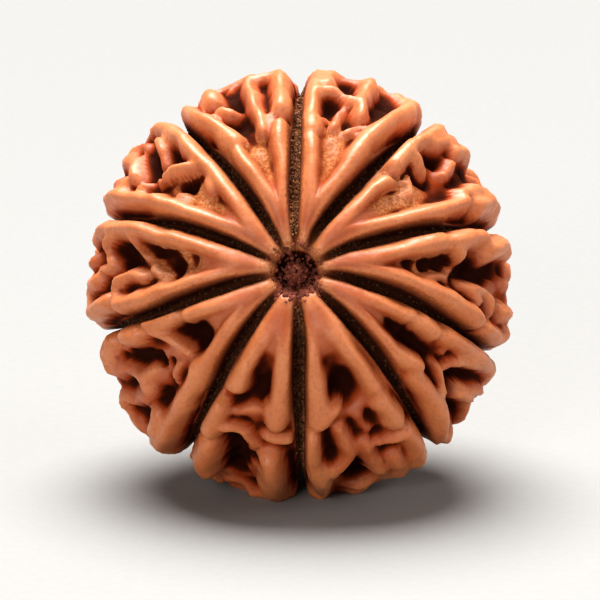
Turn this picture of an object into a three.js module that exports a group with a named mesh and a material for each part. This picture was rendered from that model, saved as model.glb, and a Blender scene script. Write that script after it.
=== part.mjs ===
// Rudraksha seed: the ridged stone of an Elaeocarpus fruit, about 25 mm across, lying on its side.
// Ten long furrows run from the stalk end to the far end and part the surface into ten lobes; each lobe is
// rimmed by two soft ridges and filled with worm-like ridges, knobs and deep pits.
// One solid, millimetres, +Z up. The stalk end faces -Y and looks up a little; the seed lies on a small
// flat spot in the plane z = 0.

import * as THREE from "three";

// Size and lie of the seed, in millimetres and degrees.
const EQUATOR_RADIUS = 12.7;        // from the axis to the crest of the ridges
const TALLER = 1.015;               // it is this much taller than wide, as the stalk end is looked at
const POLE_HALF_HEIGHT = 10.4;      // from the middle to the crest level at either end, along the axis
const AXIS_TILT = 19;               // how far the stalk end looks up from level
const MIDDLE = [0.074, 0.011, 11.72]; // where the middle lies over the resting plane: the lowest ridges are worn flat

// Furrows between the lobes.
const FURROW_DEPTH = 2.1;
const FURROW_EDGE_ROUNDING = 0.32;
const FURROW_SHOULDER = 1.05;        // how far the lobes' shoulders fall off towards a furrow ...
const FURROW_SHOULDER_REACH = 1.35;  // ... from this far out, most of all round the equator
const FURROW_HALF_WIDTH = [[10, 0.25], [20, 0.33], [32, 0.34], [40, 0.33], [50, 0.26], [60, 0.25], [90, 0.24]];
const FURROW_WIDTH_FACTOR = [0.95, 1.05, 0.92, 1.0, 1.0, 1.08, 1.0, 1.0, 0.78, 0.88];
const FURROW_DEPTH_FACTOR = [0.72, 0.95, 1, 1, 1, 1, 1, 1, 1, 0.9];

// Ridges and the floor between them.
const FLOOR_DEPTH = 1.45;           // from crest level down to the floor of the valleys
const TIP_FLOOR = 0.63;             // share of that depth in the open valley behind a lobe's tip
const TIP_ROUNDNESS = 0.5;          // how much a lobe's tip falls off towards its furrows
const BELT_RISE = 0.12;             // how much shallower the floor is towards the equator
const RIDGE_REACH = 1.02;           // how far a ridge's own flank runs out, in half widths ...
const SKIRT_REACH = 1.9;            // ... how far the soft skirt round its foot does ...
const SKIRT_SHARE = 0.12;           // ... and how much of its height the skirt has
const RIDGE_BLEND = 0.16;           // soft join where two ridges meet
const LOBE_TIP_START = 15;          // the valley between the two rims opens from here ...
const LOBE_TIP_END = 31;            // ... and has its full depth here, degrees from the pole
const WAVINESS = 0.16;              // slow wander of the ridge lines
const WAVIER = 2.2;                 // this much more of it at the equator and beyond
const SWELLING = 0.18;              // slow rise and fall of the crests
const FAR_END_SQUEEZE = 0.87;       // the far end's pattern reaches a little less far from its pole

// The belt round the equator: a net of ridges round short oblique hollows, on a loose grid in each lobe.
const BELT = [90, 117];             // from the stalk pole, in degrees
const BELT_RAGGED = 9;              // its edges wander by this much
const BELT_FADE = 12;               // over this many degrees it takes over from the ridges of either end
const HOLLOW_ROWS = 4;
const HOLLOWS_ACROSS = 3;
const HOLLOW_HALF_WIDTH = [0.45, 0.72];
const HOLLOW_HALF_LENGTH = [0.1, 0.8];
const HOLLOW_DEPTH = [0.7, 1.4];
const BELT_LEVEL = -0.22;            // its ridges lie this far from crest level
const BELT_SWELLING = 0.36;

// The sunken stalk end with its crumbly knob, and the plain dimple at the far end.
const PIT_RADIUS = 1.3;
const PIT_DEPTH = 1.6;
const KNOB_RADIUS = 0.77;
const KNOB_HEIGHT = 1.15;
const KNOB_GRAIN = 0.16;
const DIMPLE_RADIUS = 5.5;
const DIMPLE_DEPTH = 0.55;

// The mesh: columns in one lobe, and the rows as angles from the stalk end.
const LOBES = 10;
const COLUMNS_PER_LOBE = 12;
const CAP_COLUMNS_PER_LOBE = 3;
const FIRST_ROWS = [1.7, 3.3, 4.8, 6.0, 7.7, 9.8, 12.3, 15.1];
const FIRST_FULL_ROW = 3;
const BODY_START = 18.2;
const BODY_END = 167;
const BODY_ROWS = 40;
const LAST_ROWS = [172.5, 177];

// Clock angle of each furrow at angles from the stalk pole, in degrees.
const FURROW_LINES = [
  [[15, -2.5], [30, -1.2], [50, -0.5], [75, 0]],
  [[12, 27], [20, 31], [30, 34], [45, 36], [60, 37], [80, 38]],
  [[15, 65], [20, 67], [30, 69], [50, 71.5], [60, 72.5], [75, 74]],
  [[12, 96], [20, 99], [30, 101], [40, 104], [50, 106], [60, 107.5], [75, 109]],
  [[15, 131], [30, 133.5], [40, 135.5], [50, 137], [60, 138], [80, 140]],
  [[15, 176.5], [30, 178.5], [50, 178.6], [70, 179]],
  [[15, 221], [20, 220], [30, 218.5], [40, 216], [55, 215], [75, 214.5]],
  [[15, 259], [20, 258], [30, 256.5], [45, 255.2], [60, 256], [80, 256.5]],
  [[15, 294], [20, 293.7], [30, 293], [40, 292], [50, 290.5], [60, 289.5], [80, 288.5]],
  [[15, 328.5], [25, 328], [38, 326], [50, 324.5], [62, 323], [80, 322.5]],
];

// Ridges of the near half, lobe by lobe: lobe, half width at the start and at the end in millimetres,
// level (1 is a full crest, 0 the floor), and the line as [degrees from the stalk pole, clock angle].
const RIDGES = [
  [0, 0.5, 0.6, 1, [[13, 10], [20, 8.5], [30, 6], [37.5, 5]]],
  [0, 0.75, 0.75, 1.08, [[42, 5], [45, 5]]],
  [0, 0.6, 0.7, 0.96, [[47, 4.5], [57.5, 4], [69, 4], [86, 4]]],
  [0, 0.45, 0.45, 0.9, [[61.6, 3.9], [63.8, 9.9], [61.6, 13.9], [58.4, 17.9]]],
  [0, 0.75, 0.8, 0.95, [[68.7, 8], [83.4, 9.3], [88, 10]]],
  [0, 0.5, 0.7, 1, [[52, 21], [62, 19.5], [74, 19], [86, 19]]],
  [0, 0.24, 0.3, 0.75, [[57.1, 14.3], [50.1, 13.9], [44.4, 12.9]]],
  [0, 0.3, 0.3, 0.7, [[48.7, 24.3], [46.4, 20.3], [43.6, 18.4]]],
  [0, 0.28, 0.28, 0.6, [[44.7, 22.8], [43, 19.8]]],
  [0, 0.5, 0.92, 1, [[14, 19], [20, 21.5], [29, 25.5], [37, 27], [45, 27.2], [52, 28.5], [60, 31],
    [72, 33], [86, 33.5]]],
  [0, 0.3, 0.3, 0.45, [[39.3, 13.8], [37.7, 11.3]]],
  [0, 0.4, 0.35, 0.7, [[44.7, 5.9], [48.2, 9.4]]],
  [0, 0.5, 0.55, 0.8, [[82, 10.8], [83.6, 14.8], [80, 17.7]]],
  [1, 0.42, 0.45, 1, [[13, 42], [20, 43], [27, 42.5], [31, 42]]],
  [1, 0.45, 0.6, 0.97, [[32, 42.5], [35.5, 43.5]]],
  [1, 0.5, 0.35, 0.85, [[36, 43.4], [37, 46.4]]],
  [1, 0.7, 0.7, 1.02, [[42.5, 41.2], [48, 40.8], [53, 40.8]]],
  [1, 0.5, 0.38, 0.92, [[49.7, 42.9], [50.7, 46.9], [51.2, 50.4]]],
  [1, 0.6, 0.81, 0.97, [[57, 41.5], [65, 41.8], [84, 42]]],
  [1, 0.5, 0.65, 0.88, [[63.9, 45.3], [79.2, 46.6], [86, 47]]],
  [1, 0.6, 0.75, 0.95, [[73.4, 50.4], [85.6, 51.6], [88, 52]]],
  [1, 0.55, 0.45, 0.9, [[66.8, 52.3], [62.5, 54.4]]],
  [1, 0.24, 0.26, 0.75, [[44.9, 48.3], [42.1, 51.3], [40, 54.8]]],
  [1, 0.22, 0.2, 0.65, [[42.6, 50.7], [41, 48.2]]],
  [1, 0.3, 0.3, 0.55, [[59.4, 53.4], [59.4, 54.4]]],
  [1, 0.45, 0.7, 1, [[14, 53], [20, 58.5], [30, 63], [40, 65], [50, 65.5], [58.5, 66]]],
  [1, 0.75, 0.92, 1.02, [[66, 68], [76, 68], [88, 68]]],
  [1, 0.6, 0.6, 0.85, [[59.9, 62.8], [71.3, 63.2], [82, 64.5]]],
  [2, 0.45, 0.72, 1, [[13, 81], [20, 80], [30, 78], [38, 77], [43, 77.2]]],
  [2, 0.7, 0.72, 1.04, [[47, 78], [54, 76.8], [63, 76.8]]],
  [2, 0.55, 0.4, 0.9, [[48.7, 79.9], [51.3, 83.4]]],
  [2, 0.75, 0.92, 0.98, [[66, 81.5], [75, 79.5], [88, 78.5]]],
  [2, 0.2, 0.24, 0.6, [[36.2, 89.7], [40.4, 90.2], [44.3, 89.7]]],
  [2, 0.35, 0.42, 0.85, [[51.2, 92.3], [59.7, 92.3], [67.4, 94.3], [69, 98.3]]],
  [2, 0.35, 0.35, 0.75, [[54.2, 94.2], [60.9, 96.7]]],
  [2, 0.7, 0.75, 0.95, [[77.5, 96.9], [88, 98.5]]],
  [2, 0.5, 0.78, 1.03, [[13, 88], [20, 91.5], [30, 93.5], [40, 97], [50, 99.6], [60, 102.5]]],
  [2, 0.8, 0.87, 0.98, [[68, 104], [80, 105], [88, 105]]],
  [2, 0.5, 0.54, 0.6, [[82, 89.5], [88, 89]]],
  [3, 0.45, 0.55, 1, [[13, 110], [20, 109.5], [26, 110], [33.5, 111]]],
  [3, 0.7, 0.72, 1.06, [[38.5, 111.7], [43, 112.6]]],
  [3, 0.75, 0.97, 1, [[49, 111.3], [56, 111.4], [63, 112], [72, 112.5], [88, 113]]],
  [3, 0.38, 0.45, 0.8, [[54.7, 120.8], [56.9, 117.8], [64.6, 116.3], [74, 115.5], [90, 115.5]]],
  [3, 0.24, 0.24, 0.5, [[50.7, 116.6], [51.4, 117.1]]],
  [3, 0.4, 0.49, 0.85, [[68.3, 122.4], [80.6, 120.7], [88, 120]]],
  [3, 0.48, 0.65, 1, [[13, 123], [20, 124.8], [28, 126.8], [35, 127.6], [41, 126.8]]],
  [3, 0.65, 0.65, 1.05, [[42, 126], [43.5, 125.6]]],
  [3, 0.7, 0.87, 1, [[46, 129.5], [53, 131.5], [60, 131.5], [68, 133.3], [78, 135.5], [88, 136.5]]],
  [3, 0.35, 0.4, 0.68, [[50.1, 121.8], [54.7, 124.8], [61.5, 126.8]]],
  [3, 0.4, 0.43, 0.85, [[70.5, 125.4], [86, 124.7], [88, 127]]],
  [3, 0.4, 0.43, 0.85, [[88, 127], [90, 130.7]]],
  [4, 0.5, 0.62, 1, [[13, 149], [20, 147.3], [30, 144.6], [38.5, 144.8]]],
  [4, 0.7, 0.88, 1.02, [[43.8, 145.6], [49, 145.5], [54.5, 145.2]]],
  [4, 0.8, 0.95, 1, [[62, 143.8], [70, 143.8], [84, 145]]],
  [4, 0.42, 0.46, 0.92, [[58.8, 153], [61.4, 149.5], [62.4, 147]]],
  [4, 0.6, 0.75, 0.92, [[69.8, 150.5], [78, 150.5], [86, 152.5]]],
  [4, 0.5, 0.85, 1, [[13, 167], [20, 170.3], [30, 170.6], [38, 170], [43, 170]]],
  [4, 0.5, 0.4, 0.88, [[41.9, 166], [39.6, 162]]],
  [4, 0.45, 0.5, 0.5, [[45.1, 156.4], [53.7, 153.9]]],
  [4, 0.55, 0.95, 1, [[49, 174.3], [54, 174.6], [60, 174.4], [68, 174.2], [80, 174], [93, 174]]],
  [4, 0.42, 0.52, 0.88, [[47.7, 164.3], [54, 162.8], [61.3, 164.2], [68.2, 168.5]]],
  [4, 0.5, 0.6, 0.72, [[57.6, 157.5], [66.6, 157], [78, 156.2], [90, 156.9]]],
  [5, 0.5, 0.8, 1, [[13, 190.5], [20, 187], [30, 187], [38, 187.4], [44, 188]]],
  [5, 0.5, 0.4, 0.85, [[40.5, 191], [38.4, 192.4]]],
  [5, 0.5, 0.66, 1, [[13, 204], [20, 207], [27, 208.8], [35.5, 209]]],
  [5, 0.72, 0.88, 1.05, [[43.5, 210.3], [49, 210], [54.5, 210.2]]],
  [5, 0.35, 0.42, 0.5, [[40.6, 193.2], [41.7, 199.2], [44, 204.2]]],
  [5, 0.5, 0.34, 0.9, [[50.2, 205.6], [48.9, 201.1], [50.7, 197.1], [55.4, 194]]],
  [5, 0.45, 0.5, 0.88, [[50.3, 191.1], [51.4, 186], [51.9, 183]]],
  [5, 0.8, 1.2, 1, [[60, 188.8], [66, 187.8], [75, 187.4], [93, 186.4]]],
  [5, 1, 1.25, 1.02, [[62.5, 208.4], [70, 208], [81, 207.6]]],
  [6, 0.48, 0.6, 1, [[13, 232.5], [20, 230], [30, 226.3], [34, 225.5]]],
  [6, 0.8, 0.75, 1.04, [[36.5, 225.3], [40, 224]]],
  [6, 0.7, 0.81, 1, [[43, 222.8], [50, 222], [57, 222], [64, 221.3], [72, 220], [88, 219]]],
  [6, 0.7, 0.75, 0.95, [[66.8, 226.6], [73.1, 224.6], [86, 223]]],
  [6, 0.48, 0.58, 1.02, [[13, 243.5], [20, 246.6], [27, 248.6], [32, 248.8]]],
  [6, 0.65, 0.6, 0.96, [[47, 252], [42, 251], [37.5, 250.5]]],
  [6, 0.42, 0.38, 0.75, [[47.5, 249.2], [43.1, 245.2], [39.4, 239.2], [38.3, 234.2]]],
  [6, 0.78, 0.92, 1.05, [[53, 250.2], [60.5, 250.8]]],
  [6, 0.26, 0.28, 0.7, [[43.8, 232.2], [47.2, 231.8], [49.5, 228.8]]],
  [6, 0.6, 0.7, 0.5, [[56.8, 238.6], [63, 236.6], [64, 232.6]]],
  [6, 0.5, 0.42, 0.87, [[75.5, 252.6], [86, 249], [81.1, 244.4], [70.5, 241.7], [63.8, 240.2]]],
  [6, 0.4, 0.4, 0.8, [[86, 240], [82, 236.5], [74.4, 233.9], [67, 232.3]]],
  [6, 0.6, 0.65, 0.9, [[86, 236], [90, 231]]],
  [6, 0.6, 0.65, 0.9, [[86, 229.4], [90, 228]]],
  [7, 0.42, 0.75, 1, [[13, 266.8], [20, 265.3], [30, 263.2], [40, 262.4], [50, 261.5], [58, 261.5]]],
  [7, 0.42, 0.36, 0.9, [[59.2, 264.1], [61.4, 267.1], [57.7, 269.6], [50.9, 270.6], [47.2, 268.9]]],
  [7, 0.4, 0.4, 0.6, [[56.1, 267.5], [58.6, 268]]],
  [7, 0.24, 0.22, 0.66, [[44.2, 272.3], [40.3, 269.8]]],
  [7, 0.45, 0.45, 0.4, [[39.2, 268.5], [37.1, 268.5]]],
  [7, 0.42, 0.81, 1, [[13, 279], [20, 283.3], [30, 285.3], [40, 284.6], [50, 286], [60, 285.8],
    [70, 285.3], [88, 284]]],
  [7, 0.32, 0.28, 0.7, [[56.3, 283.3], [51.6, 279.8], [47.4, 276.8]]],
  [7, 0.36, 0.36, 0.8, [[65.3, 283.3], [69.6, 280.3], [68.9, 277.3], [65.2, 274.8]]],
  [7, 0.35, 0.35, 0.75, [[67.3, 272.4], [72.7, 273.5]]],
  [7, 0.65, 0.7, 0.95, [[73.4, 270.1], [86.1, 270.3], [88, 267]]],
  [7, 0.8, 0.87, 1, [[67, 263], [76, 262.5], [88, 263]]],
  [7, 0.5, 0.54, 0.8, [[82, 276.4], [88, 277]]],
  [8, 0.42, 0.87, 1, [[13, 301], [17, 302.5], [25, 300.5], [33, 299], [41, 297], [48, 296.8],
    [56, 295.5], [66, 294.5], [88, 293]]],
  [8, 0.42, 0.81, 1, [[13, 314], [20, 318], [30, 319], [40, 319.6], [50, 319.6], [60, 319.6],
    [70, 319.4], [88, 319]]],
  [8, 0.55, 0.5, 0.85, [[35.6, 316.1], [33, 313.9]]],
  [8, 0.6, 0.5, 0.95, [[43.3, 316], [45.8, 312.5], [48.9, 310]]],
  [8, 0.5, 0.42, 0.9, [[49.3, 310.1], [50.9, 306.6]]],
  [8, 0.5, 0.48, 0.92, [[70, 314.1], [63.4, 312.6], [59.1, 310.6]]],
  [8, 0.5, 0.5, 0.75, [[69.5, 317.2], [61.8, 316.2]]],
  [8, 0.42, 0.42, 0.55, [[40.9, 303.7], [38.3, 303.2]]],
  [8, 0.24, 0.24, 0.6, [[54.7, 304.8], [51.4, 303.3]]],
  [8, 0.4, 0.36, 0.7, [[61.3, 299.8], [57.7, 301]]],
  [8, 0.75, 0.87, 0.95, [[66, 302.6], [72.5, 304.1], [86, 306]]],
  [8, 0.6, 0.6, 0.85, [[69.3, 298.2], [82, 299.3]]],
  [8, 0.5, 0.59, 0.95, [[76.2, 311.1], [86, 309.5]]],
  [8, 0.55, 0.65, 1, [[82, 316], [90, 316]]],
  [8, 0.3, 0.3, 0.75, [[76, 309.3], [69.3, 305.8]]],
  [9, 0.45, 0.52, 1, [[13, 343], [20, 338.5], [30, 335.3], [38, 333.3]]],
  [9, 0.66, 0.76, 1.03, [[42, 333.8], [48, 331.6], [55, 329.2], [62, 327.2], [72, 326], [86, 325.4]]],
  [9, 0.48, 0.6, 1, [[13, 350.5], [20, 351.8], [30, 352.2], [38, 352.6], [43.5, 353]]],
  [9, 0.7, 0.87, 1, [[50, 354], [58, 354.3], [68, 354.4], [88, 355]]],
  [9, 0.48, 0.67, 0.98, [[42, 346], [48, 346], [56, 345], [66, 345.5], [86, 346]]],
  [9, 0.66, 0.62, 1, [[55, 337], [58, 334.5]]],
  [9, 0.42, 0.5, 0.85, [[78, 338.1], [83, 340], [86, 340]]],
  [9, 0.72, 0.78, 0.97, [[68, 334], [78, 333], [88, 333]]],
  [9, 0.25, 0.25, 0.4, [[45.4, 341], [40.6, 342.5]]],
  [9, 0.4, 0.4, 0.75, [[47.9, 350], [44.4, 349]]],
  [9, 0.55, 0.6, 0.95, [[75.1, 344.5], [77.1, 349.5], [75.1, 354.5]]],
  [9, 0.5, 0.5, 0.85, [[82, 333.6], [83, 338.5], [81, 344]]],
];

// Pits between the ridges: lobe, degrees from the stalk pole, clock angle, radius and depth.
const PITS = [
  [0, 57, 10.6, 0.45, 1], [0, 61, 16.1, 0.45, 0.6], [0, 49, 16.5, 0.35, 0.4], [0, 64, 23.1, 0.35, 0.4],
  [1, 51, 51.2, 0.6, 0.5], [1, 63, 49.3, 0.6, 0.8], [1, 43.8, 48.7, 0.45, 0.6],
  [1, 36.4, 47.2, 0.45, 0.4], [1, 64, 57.3, 0.5, 0.6], [1, 76, 55.5, 0.4, 0.4], [2, 31.6, 83.6, 0.5, 0.5],
  [2, 37.9, 85, 0.6, 0.8], [2, 43.4, 84.5, 0.6, 0.9], [2, 48.1, 83.1, 0.45, 0.7],
  [2, 42.7, 92.3, 0.3, 0.4], [2, 50.5, 91.1, 0.4, 0.7], [2, 54, 87.6, 0.5, 0.7], [2, 59, 86.6, 0.7, 1],
  [2, 65, 85.7, 0.7, 1], [2, 71, 86.8, 0.75, 0.9], [2, 76, 85.4, 0.55, 0.6], [2, 63, 95.3, 0.3, 0.4],
  [3, 30.7, 115.8, 0.65, 0.5], [3, 35.1, 117.3, 0.78, 0.7], [3, 40.8, 118.3, 0.85, 1],
  [3, 46.9, 119.9, 0.4, 0.7], [3, 50, 123.4, 0.4, 0.6], [3, 56, 126, 0.3, 0.4],
  [4, 26.3, 158.9, 0.59, 0.4], [4, 32, 157.4, 0.78, 0.7], [4, 37.1, 157.9, 0.91, 1],
  [4, 53.5, 168.1, 0.35, 0.6], [4, 49.2, 160.9, 0.4, 0.4], [5, 25.1, 198.4, 0.52, 0.4],
  [5, 30.2, 198, 0.72, 0.6], [5, 35.9, 197.1, 0.85, 0.9], [5, 40.3, 205.6, 0.65, 0.8],
  [5, 65.5, 211.6, 0.3, 0.5], [6, 30.9, 238.9, 0.72, 0.5], [6, 35.1, 238.5, 1.04, 0.9],
  [6, 37.5, 241.4, 0.72, 0.6], [6, 47, 235.3, 0.35, 0.6], [6, 51.2, 230.3, 0.3, 0.4],
  [6, 59, 228.8, 0.35, 0.5], [6, 75.5, 240.1, 0.5, 0.7], [6, 76, 230.6, 0.5, 0.6],
  [7, 29.2, 275.8, 0.52, 0.4], [7, 34.6, 273.5, 0.65, 0.7], [7, 39.1, 277.8, 0.85, 0.6],
  [7, 45.1, 280.3, 0.65, 0.6], [7, 50.5, 283.3, 0.5, 0.7], [7, 61, 276.8, 0.75, 1],
  [7, 64, 282.2, 0.5, 0.8], [7, 57, 274.3, 0.45, 0.7], [7, 67, 278.1, 0.45, 0.5],
  [7, 53, 267.2, 0.35, 0.6], [8, 58, 314.9, 0.5, 0.8], [8, 64, 306.5, 0.7, 1], [8, 44.2, 313.5, 0.6, 0.6],
  [8, 41.5, 308.5, 0.6, 0.5], [8, 69, 309.4, 0.4, 0.5], [9, 57, 338.1, 0.5, 0.7],
  [9, 55, 349.4, 0.35, 0.8], [9, 66, 340.5, 0.5, 0.5], [9, 68, 349.4, 0.35, 0.4],
  [9, 61, 341.5, 0.45, 0.4], [4, 60, 168.4, 0.6, 1.3], [4, 71.5, 163.5, 0.65, 1.1],
  [4, 79, 164, 0.75, 1.2], [4, 86, 161.5, 0.6, 0.8], [4, 70, 150.1, 0.42, 0.9],
  [4, 49.5, 151.2, 0.6, 1.4], [4, 58, 151.6, 0.55, 1], [4, 66, 168.9, 0.4, 0.7],
  [5, 59.5, 201.4, 0.75, 1.5], [5, 64.5, 200, 0.6, 0.9], [5, 66, 194.9, 0.5, 1.2],
  [5, 72, 198.9, 0.75, 1.3], [5, 80, 198.8, 0.75, 1], [5, 61.5, 187.9, 0.5, 1],
  [5, 48.7, 200.1, 0.5, 0.9], [5, 52, 194.1, 0.42, 1], [6, 52.5, 239.5, 0.5, 1.1],
  [6, 57.5, 241.5, 0.65, 1.3], [6, 63, 243.8, 0.6, 1.2], [6, 68, 244.7, 0.5, 1],
  [6, 72, 247.7, 0.35, 0.6], [3, 62.5, 123.2, 0.6, 1.2], [3, 66, 120.9, 0.7, 1.4],
  [3, 72, 120, 0.65, 1.3], [3, 78, 119.1, 0.5, 0.9], [3, 74, 128.1, 0.5, 1.1], [3, 80, 128.1, 0.5, 0.9],
];

const RAD = Math.PI / 180;

function smoothstep(a, b, x) {
  const t = Math.min(1, Math.max(0, (x - a) / (b - a)));
  return t * t * (3 - 2 * t);
}

function lookUp(table, x) {
  if (x <= table[0][0]) return table[0][1];
  for (let i = 1; i < table.length; i++) {
    if (x <= table[i][0]) {
      const [x0, y0] = table[i - 1];
      const [x1, y1] = table[i];
      return y0 + ((x - x0) / (x1 - x0)) * (y1 - y0);
    }
  }
  return table[table.length - 1][1];
}

// A number from -1 to 1 for each whole-numbered place, always the same for the same place.
function hash(x, y, z) {
  let h = (Math.imul(x, 374761393) + Math.imul(y, 668265263) + Math.imul(z, 1274126177)) | 0;
  h = Math.imul(h ^ (h >>> 13), 1274126177);
  h ^= h >>> 16;
  return (h & 0xffff) / 32767.5 - 1;
}

function noise(p, frequency, seed) {
  const base = [0, 0, 0];
  const part = [0, 0, 0];
  for (let i = 0; i < 3; i++) {
    const q = p[i] * frequency + seed * 17.13;
    base[i] = Math.floor(q);
    const f = q - base[i];
    part[i] = f * f * (3 - 2 * f);
  }
  let sum = 0;
  for (let corner = 0; corner < 8; corner++) {
    const dx = corner & 1;
    const dy = (corner >> 1) & 1;
    const dz = (corner >> 2) & 1;
    const weight = (dx ? part[0] : 1 - part[0]) * (dy ? part[1] : 1 - part[1]) * (dz ? part[2] : 1 - part[2]);
    sum += weight * hash(base[0] + dx, base[1] + dy, base[2] + dz);
  }
  return sum;
}

// A seeded number from low to high for the n-th thing.
function pick(n, low, high) {
  return low + (high - low) * 0.5 * (1 + hash(n, 71, 13));
}

// Clock angle of a furrow; past the equator it runs on as a mirror of the near half.
function furrowAngle(k, u) {
  const line = FURROW_LINES[k % LOBES];
  const near = lookUp(line, u <= 90 ? u : 180 - u);
  const end = line[line.length - 1][1];
  const w = Math.min(1, Math.max(0, (u - 80) / 30));
  return near * (1 - w) + (2 * end - near) * w + 360 * Math.floor(k / LOBES);
}

// The point of the smooth spheroid at crest level, in the seed's own frame: x right and y up as the stalk
// end is looked at, z along the axis towards the looker; u from the stalk pole, phi clockwise from the top.
function crestPoint(u, phi) {
  const ring = EQUATOR_RADIUS * Math.sin(u * RAD);
  return [ring * Math.sin(phi * RAD), TALLER * ring * Math.cos(phi * RAD), POLE_HALF_HEIGHT * Math.cos(u * RAD)];
}

function crestNormal(u, phi) {
  const x = (Math.sin(u * RAD) * Math.sin(phi * RAD)) / EQUATOR_RADIUS;
  const y = (Math.sin(u * RAD) * Math.cos(phi * RAD)) / (TALLER * EQUATOR_RADIUS);
  const z = Math.cos(u * RAD) / POLE_HALF_HEIGHT;
  const l = Math.hypot(x, y, z);
  return [x / l, y / l, z / l];
}

// Where a place of one lobe of the near half falls on lobe k of the far half.
function farPlace(from, k, u, phi) {
  const a = furrowAngle(from, u);
  const b = furrowAngle(from + 1, u);
  let s = (phi - a) / (b - a);
  if (s > 1.4) s = (phi - 360 - a) / (b - a);
  if (k % 2 === 0) s = 1 - s;
  const squeeze = Math.min(1, Math.max(0, (u - 15) / 30));
  const far = 180 - (u + (u * FAR_END_SQUEEZE - u) * squeeze);
  const a2 = furrowAngle(k, far);
  const b2 = furrowAngle(k + 1, far);
  return [far, a2 + s * (b2 - a2)];
}

function allRidges() {
  const out = [];
  for (const [, w0, w1, level, points] of RIDGES) out.push([w0, w1, level, points]);
  for (let k = 0; k < LOBES; k++) {
    const from = (k * 3 + 4) % LOBES;
    for (const [lobe, w0, w1, level, points] of RIDGES) {
      if (lobe === from) out.push([w0, w1, level, points.map(([u, phi]) => farPlace(from, k, u, phi))]);
    }
  }
  return out;
}

function allPits() {
  const out = PITS.map(([, u, phi, r, depth]) => [crestPoint(u, phi), r, depth]);
  for (let k = 0; k < LOBES; k++) {
    const from = (k * 3 + 4) % LOBES;
    for (const [lobe, u, phi, r, depth] of PITS) {
      if (lobe === from) out.push([crestPoint(...farPlace(from, k, u, phi)), r, depth]);
    }
  }
  return out;
}

// The hollows of the belt: half width at either end, depth, and the middle line.
function beltHollows() {
  const out = [];
  const along = (BELT[1] - BELT[0]) / HOLLOW_ROWS;
  for (let k = 0; k < LOBES; k++) {
    for (let row = 0; row < HOLLOW_ROWS; row++) {
      for (let i = 0; i < HOLLOWS_ACROSS; i++) {
        const n = 600 + 8 * (HOLLOWS_ACROSS * (HOLLOW_ROWS * k + row) + i);
        const u = BELT[0] + along * (row + 0.5 + pick(n, -0.3, 0.3));
        const s = (i + 0.25 + 0.5 * (row % 2) + pick(n + 1, -0.2, 0.2)) / HOLLOWS_ACROSS;
        const a = furrowAngle(k, u);
        const phi = a + (0.15 + 0.7 * s) * (furrowAngle(k + 1, u) - a);
        const lean = pick(n + 2, -1.2, 1.2);
        const half = pick(n + 3, ...HOLLOW_HALF_LENGTH);
        const du = (half * Math.cos(lean)) / POLE_HALF_HEIGHT / RAD;
        const dphi = (half * Math.sin(lean)) / EQUATOR_RADIUS / RAD;
        const width = pick(n + 4, ...HOLLOW_HALF_WIDTH);
        const line = [[u - du, phi - dphi], [u + du, phi + dphi]];
        out.push([width, 0.8 * width, pick(n + 5, ...HOLLOW_DEPTH), line]);
      }
    }
  }
  return out;
}

// Rounds the corners of a line by cutting them twice.
function rounded(line) {
  let c = line;
  if (c.length < 3) return c;
  for (let pass = 0; pass < 2; pass++) {
    const next = [c[0]];
    for (let i = 0; i + 1 < c.length; i++) {
      const [a, b] = [c[i], c[i + 1]];
      next.push([0.75 * a[0] + 0.25 * b[0], 0.75 * a[1] + 0.25 * b[1]]);
      next.push([0.25 * a[0] + 0.75 * b[0], 0.25 * a[1] + 0.75 * b[1]]);
    }
    next.push(c[c.length - 1]);
    c = next;
  }
  return c;
}

function distance(a, b) {
  return Math.hypot(a[0] - b[0], a[1] - b[1], a[2] - b[2]);
}

// A ridge or hollow as points in space with a half width at each, and the box round them.
function inSpace([w0, w1, level, line]) {
  const points = rounded(line).map(([u, phi]) => crestPoint(u, phi));
  const run = [0];
  for (let i = 1; i < points.length; i++) run.push(run[i - 1] + distance(points[i - 1], points[i]));
  const total = Math.max(run[run.length - 1], 1e-6);
  const widths = run.map((r) => w0 + ((w1 - w0) * r) / total);
  const margin = Math.max(w0, w1) * SKIRT_REACH + 0.05;
  const low = [0, 1, 2].map((i) => Math.min(...points.map((p) => p[i])) - margin);
  const high = [0, 1, 2].map((i) => Math.max(...points.map((p) => p[i])) + margin);
  return { points, widths, level, low, high };
}
const ridgeLines = allRidges().map(inSpace);
const hollowLines = beltHollows().map(inSpace);
const pitList = allPits();

// Distance from a point to a ridge's middle line, in half widths of the ridge there.
function ridgeReach(p, ridge) {
  let best = 9;
  for (let i = 0; i + 1 < ridge.points.length; i++) {
    const a = ridge.points[i];
    const b = ridge.points[i + 1];
    const ab = [b[0] - a[0], b[1] - a[1], b[2] - a[2]];
    const ap = [p[0] - a[0], p[1] - a[1], p[2] - a[2]];
    const length2 = Math.max(ab[0] * ab[0] + ab[1] * ab[1] + ab[2] * ab[2], 1e-9);
    const t = Math.min(1, Math.max(0, (ap[0] * ab[0] + ap[1] * ab[1] + ap[2] * ab[2]) / length2));
    const d = Math.hypot(ap[0] - t * ab[0], ap[1] - t * ab[1], ap[2] - t * ab[2]);
    best = Math.min(best, d / (ridge.widths[i] + (ridge.widths[i + 1] - ridge.widths[i]) * t));
  }
  return best;
}

// Joins two heights softly where they are nearly the same.
function softMax(a, b, blend) {
  const both = Math.max(0, blend - Math.abs(a - b));
  return Math.max(a, b) + (both * both) / (4 * Math.max(blend, 1e-6));
}

// How deep the belt's hollows are at one place.
function hollowDepth(p) {
  let depth = 0;
  for (const hollow of hollowLines) {
    if (p.some((v, i) => v < hollow.low[i] || v > hollow.high[i])) continue;
    depth = softMax(depth, hollow.level * (1 - smoothstep(0.1, 1.55, ridgeReach(p, hollow))), 0.1);
  }
  return depth;
}

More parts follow.
